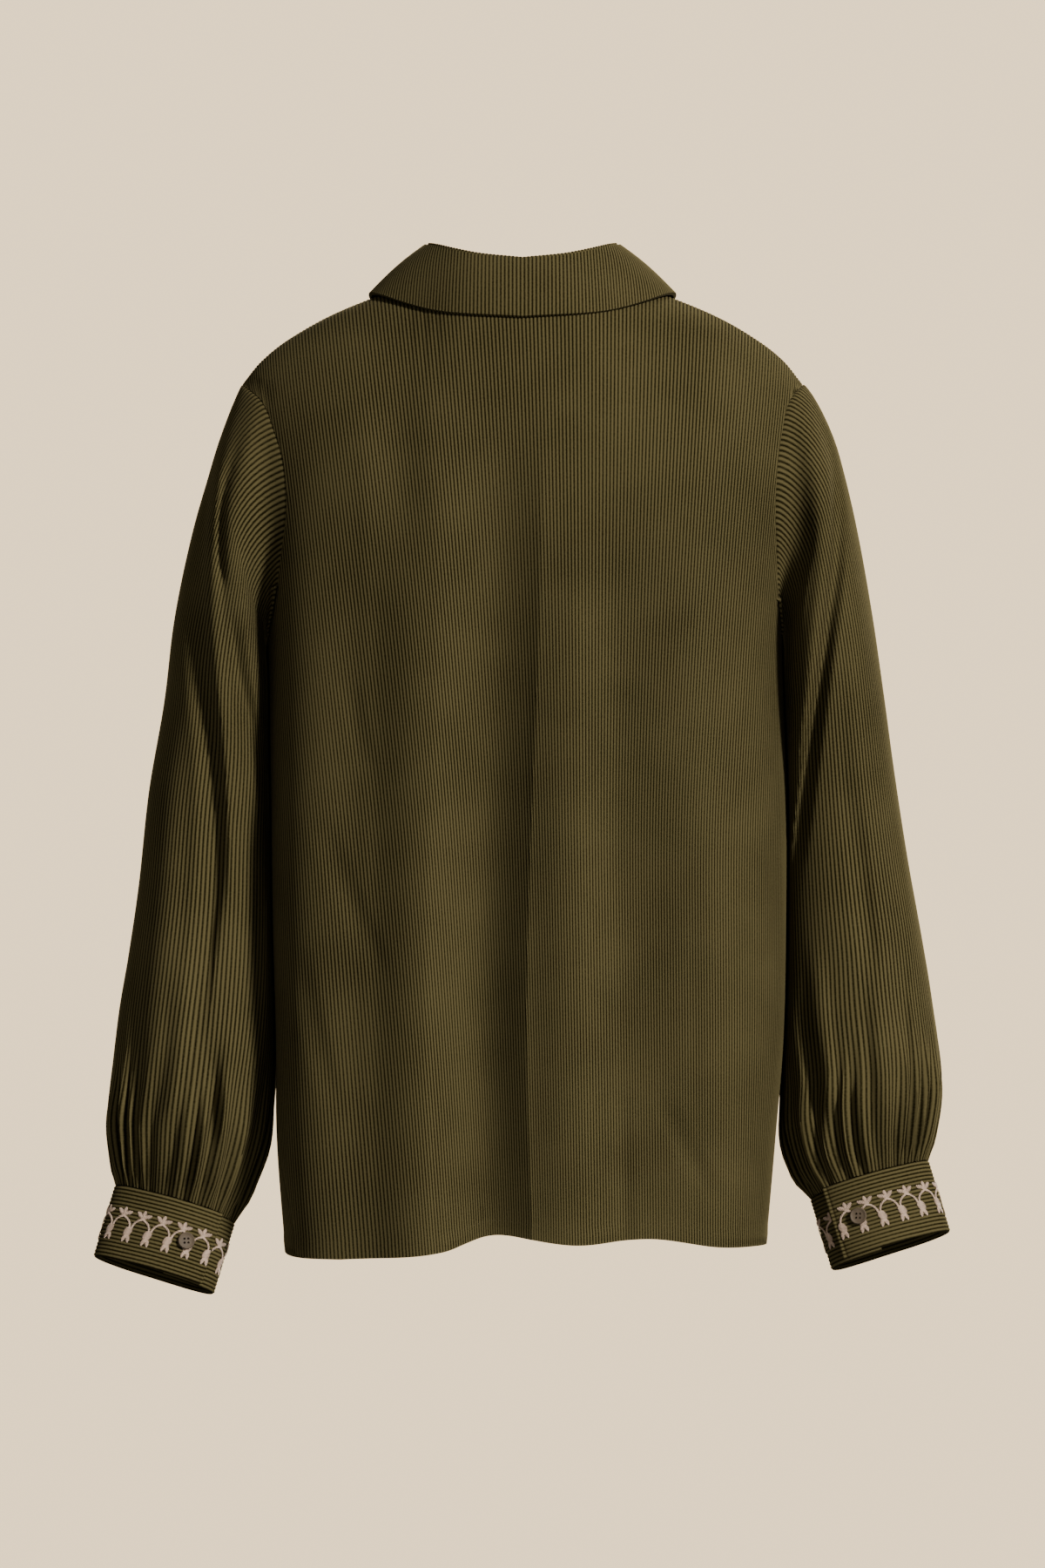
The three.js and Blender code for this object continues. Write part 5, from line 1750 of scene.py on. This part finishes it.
@dataclass(frozen=True)
class Horn:
    """The finish of the buttons: brown, clouded, with a soft gloss."""

    dark: Colour = (0.055, 0.038, 0.023)
    light: Colour = (0.12, 0.087, 0.055)

    def material(self) -> bpy.types.Material:
        """Builds the material."""
        made = clouded("brown_button", self.dark, self.light, 260, 3)
        shader = made.node_tree.nodes["Principled BSDF"]
        shader.inputs["Roughness"].default_value = 0.6
        shader.inputs["Specular IOR Level"].default_value = 0.18
        return made


@dataclass(frozen=True)
class Sun:
    """An even lamp.

    Args:
        name: its name.
        source: the direction from which it shines.
        strength: how strong it is.
        spread: how wide it looks, in degrees.
    """

    name: str
    source: tuple[float, float, float]
    strength: float
    spread: float

    def add(self) -> None:
        """Adds the lamp to the scene."""
        data = bpy.data.lights.new(self.name, "SUN")
        data.energy = self.strength
        data.angle = math.radians(self.spread)
        made = bpy.data.objects.new(self.name, data)
        made.rotation_euler = (-Vector(self.source)).to_track_quat("-Z", "Y").to_euler()
        bpy.context.scene.collection.objects.link(made)

    def on_floor(self) -> float:
        """How much light it brings to a level floor."""
        return self.strength * self.source[2] / Vector(self.source).length / math.pi


@dataclass(frozen=True)
class Studio:
    """The camera, the lamps, the floor and the pale air.

    Args:
        distance: how far behind the shirt the camera stands, in metres.
        lens: its focal length in millimetres.
        middle_z: its height.
        floor_z: the floor's height.
        pale: the colour of the air and the floor as they are seen.
        glow: how strongly the air lights the shirt.
        floor_albedo: how much light the floor sends back.
        suns: the lamps.
    """

    distance: float = 6.0
    lens: float = 200.0
    middle_z: float = -0.336
    floor_z: float = -1.3
    pale: Colour = (1.906, 1.464, 0.896)
    glow: float = 0.24
    floor_albedo: float = 0.25
    suns: tuple[Sun, ...] = (
        Sun("key", (-0.6, 0.75, 0.47), 5.1, 10.0),
        Sun("far_key", (-0.4, -0.8, 0.5), 5.0, 14.0),
    )

    def camera(self) -> None:
        """Adds the camera behind the shirt."""
        data = bpy.data.cameras.new("camera")
        data.lens = self.lens
        data.sensor_width = 36
        data.clip_end = 50
        made = bpy.data.objects.new("camera", data)
        made.location = (0, self.distance, self.middle_z)
        made.rotation_euler = (math.pi / 2, 0, math.pi)
        bpy.context.scene.collection.objects.link(made)
        bpy.context.scene.camera = made

    def air(self) -> None:
        """Makes the world pale where it is seen and dimmer where it lights."""
        world = bpy.data.worlds.new("air")
        bpy.context.scene.world = world
        world.use_nodes = True
        nodes, links = world.node_tree.nodes, world.node_tree.links
        path = nodes.new("ShaderNodeLightPath")
        colour = nodes.new("ShaderNodeMix")
        colour.data_type = "RGBA"
        colour.inputs["A"].default_value = (self.glow, self.glow * 0.95, self.glow * 0.88, 1)
        colour.inputs["B"].default_value = (*self.pale, 1)
        links.new(path.outputs["Is Camera Ray"], colour.inputs["Factor"])
        links.new(colour.outputs["Result"], nodes["Background"].inputs[0])

    def floor(self) -> None:
        """Adds a wide plain floor well below the shirt, as pale as the air behind it."""
        bm = bmesh.new()
        bmesh.ops.create_grid(bm, x_segments=1, y_segments=1, size=40)
        bmesh.ops.translate(bm, verts=bm.verts, vec=(0, 0, self.floor_z))
        mesh = bpy.data.meshes.new("floor")
        bm.to_mesh(mesh)
        bm.free()
        material = bpy.data.materials.new("floor")
        material.use_nodes = True
        nodes, links = material.node_tree.nodes, material.node_tree.links
        shader = nodes["Principled BSDF"]
        shader.inputs["Base Color"].default_value = (*[self.floor_albedo] * 3, 1)
        shader.inputs["Roughness"].default_value = 1
        shader.inputs["Specular IOR Level"].default_value = 0
        lit = self.floor_albedo * (self.glow + sum(sun.on_floor() for sun in self.suns))
        shader.inputs["Emission Color"].default_value = (*[part - lit for part in self.pale], 1)
        path = nodes.new("ShaderNodeLightPath")
        links.new(path.outputs["Is Camera Ray"], shader.inputs["Emission Strength"])
        finish_mesh(mesh, material)

    def build(self) -> None:
        """Builds all of it."""
        self.camera()
        self.air()
        self.floor()
        for sun in self.suns:
            sun.add()


@dataclass(frozen=True)
class ClothCut:
    """The flat cut of a cloth piece, in metres.

    Args:
        wide: its greatest width.
        long: its greatest length.
        area: its flat area in square metres.
        held: how it is held.
    """

    wide: float
    long: float
    area: float
    held: str


BACK_CUT = ClothCut(0.5, 0.7, 0.312, "hung")
FRONT_CUT = ClothCut(0.265, 0.69, 0.16, "hung")


class Shirt:
    """The whole shirt, piece by piece."""

    def __init__(self) -> None:
        """Makes the finishes and the form."""
        self.cloth = Corduroy().material()
        self.yarn = Yarn("embroidery_thread", (0.5, 0.345, 0.24)).material()
        self.sewing_yarn = Yarn("sewing_thread", (0.085, 0.068, 0.028)).material()
        self.horn = Horn().material()
        self.body = BodyForm({Face.BACK: BACK_FOLDS, Face.FRONT: FRONT_FOLDS})
        self.button = Button()

    def own(self, piece: bpy.types.Object, slot: str, *nodes: str) -> bpy.types.Object:
        """Puts a piece under the root body, hides the nodes it stands for and logs its face count."""
        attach(piece, "root")
        if nodes:
            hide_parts(*nodes)
        log.info("%s: %d faces", piece.name, len(piece.data.polygons))
        return piece

    def build(self) -> None:
        """Builds every piece."""
        button = self.button.mesh()
        back = self.build_panel(BackPanel("back_cloth", self.body, self.cloth), BACK_CUT, button)
        for hand in Hand:
            panel = FrontPanel(f"front_cloth_{hand.word}", hand, self.body, self.cloth)
            front = self.build_panel(panel, FRONT_CUT, button, back)
            form = SleeveForm(hand, self.body, SLEEVE_FOLDS[hand])
            sleeve = self.own(Sleeve(form, self.cloth).build(), "corduroy", f"sleeve_{hand.word}")
            self.build_cuff(form, button)
            strip = bpy.data.objects[f"slit_strip_{hand.word}"]
            for slot in strip.material_slots:
                slot.material = self.cloth
        stand, fall = Collar(self.body, self.cloth).build()
        self.own(stand, "corduroy", "collar_stand")
        self.own(fall, "corduroy", "collar_fall")

    def build_panel(
        self, panel: Panel, cut: ClothCut, button: bpy.types.Mesh, *held_by: bpy.types.Object
    ) -> bpy.types.Object:
        """Builds a panel of the body with its sewing, and the buttons on the right front.

        Args:
            panel: the panel.
            cut: its cut; not used.
            button: the button's mesh.
            *held_by: the pieces it hangs from; not used.

        Returns:
            The panel's cloth.
        """
        sewing = Sewing()
        name = panel.name.replace("cloth", "sewing")
        threads = Threads(name, sewing.radius, self.sewing_yarn)
        cloth = self.own(panel.build(), "corduroy", panel.name.replace("_cloth", ""))
        sewing.hem(threads, panel)
        on_it = []
        if isinstance(panel, FrontPanel) and panel.hand is Hand.RIGHT:
            on_it = self.fasten_front(panel, sewing, threads, button)
        on_it.append(self.own(threads.build(), "sewing"))
        return cloth

    def build_cuff(self, form: SleeveForm, button: bpy.types.Mesh) -> None:
        """Builds a cuff with its border and its button."""
        word = form.hand.word
        cuff = Cuff(form, self.cloth)
        cloth = self.own(cuff.build(), "corduroy", f"cuff_{word}")
        border = FlowerBorder(BORDER_FIRST[form.hand]).sew(cuff, self.yarn)
        self.own(border, "embroidery")
        at, normal = cuff.spot(np.array([CUFF_BUTTON_ROUND]), np.array([CUFF_BUTTON_DOWN]), 0)
        made = self.button.place(button, f"cuff_button_detail_{word}", at[0], normal[0], self.horn)
        self.own(made, "button", f"cuff_button_{word}")

    def fasten_front(
        self, front: FrontPanel, sewing: Sewing, threads: Threads, button: bpy.types.Mesh
    ) -> list[bpy.types.Object]:
        """Sews the front's two edge lines and its buttonholes, and puts its buttons on."""
        v = np.linspace(0.02, 1.99, sewing.count)
        for x in (-FRONT_LAP + sewing.edge_in, FRONT_LAP + sewing.band_past):
            sewing.line(threads, front, np.full(sewing.count, x / SHOULDER_TIP_X), v)
        buttons = []
        for index in range(FRONT_BUTTON_COUNT):
            z = FRONT_BUTTON_Z - index * FRONT_BUTTON_PITCH
            sewing.buttonhole(threads, front, z)
            at, normal = front.at_height(0.0, np.array([z]))
            name = f"front_button_detail_{index + 1}"
            made = self.button.place(button, name, at[0], normal[0], self.horn)
            buttons.append(self.own(made, "button", f"front_button_{index + 1}"))
        return buttons


def main() -> None:
    """Builds the whole scene."""
    logging.basicConfig(level=logging.INFO, format="%(message)s")
    Studio().build()
    Shirt().build()


if __name__ == "__main__":
    main()
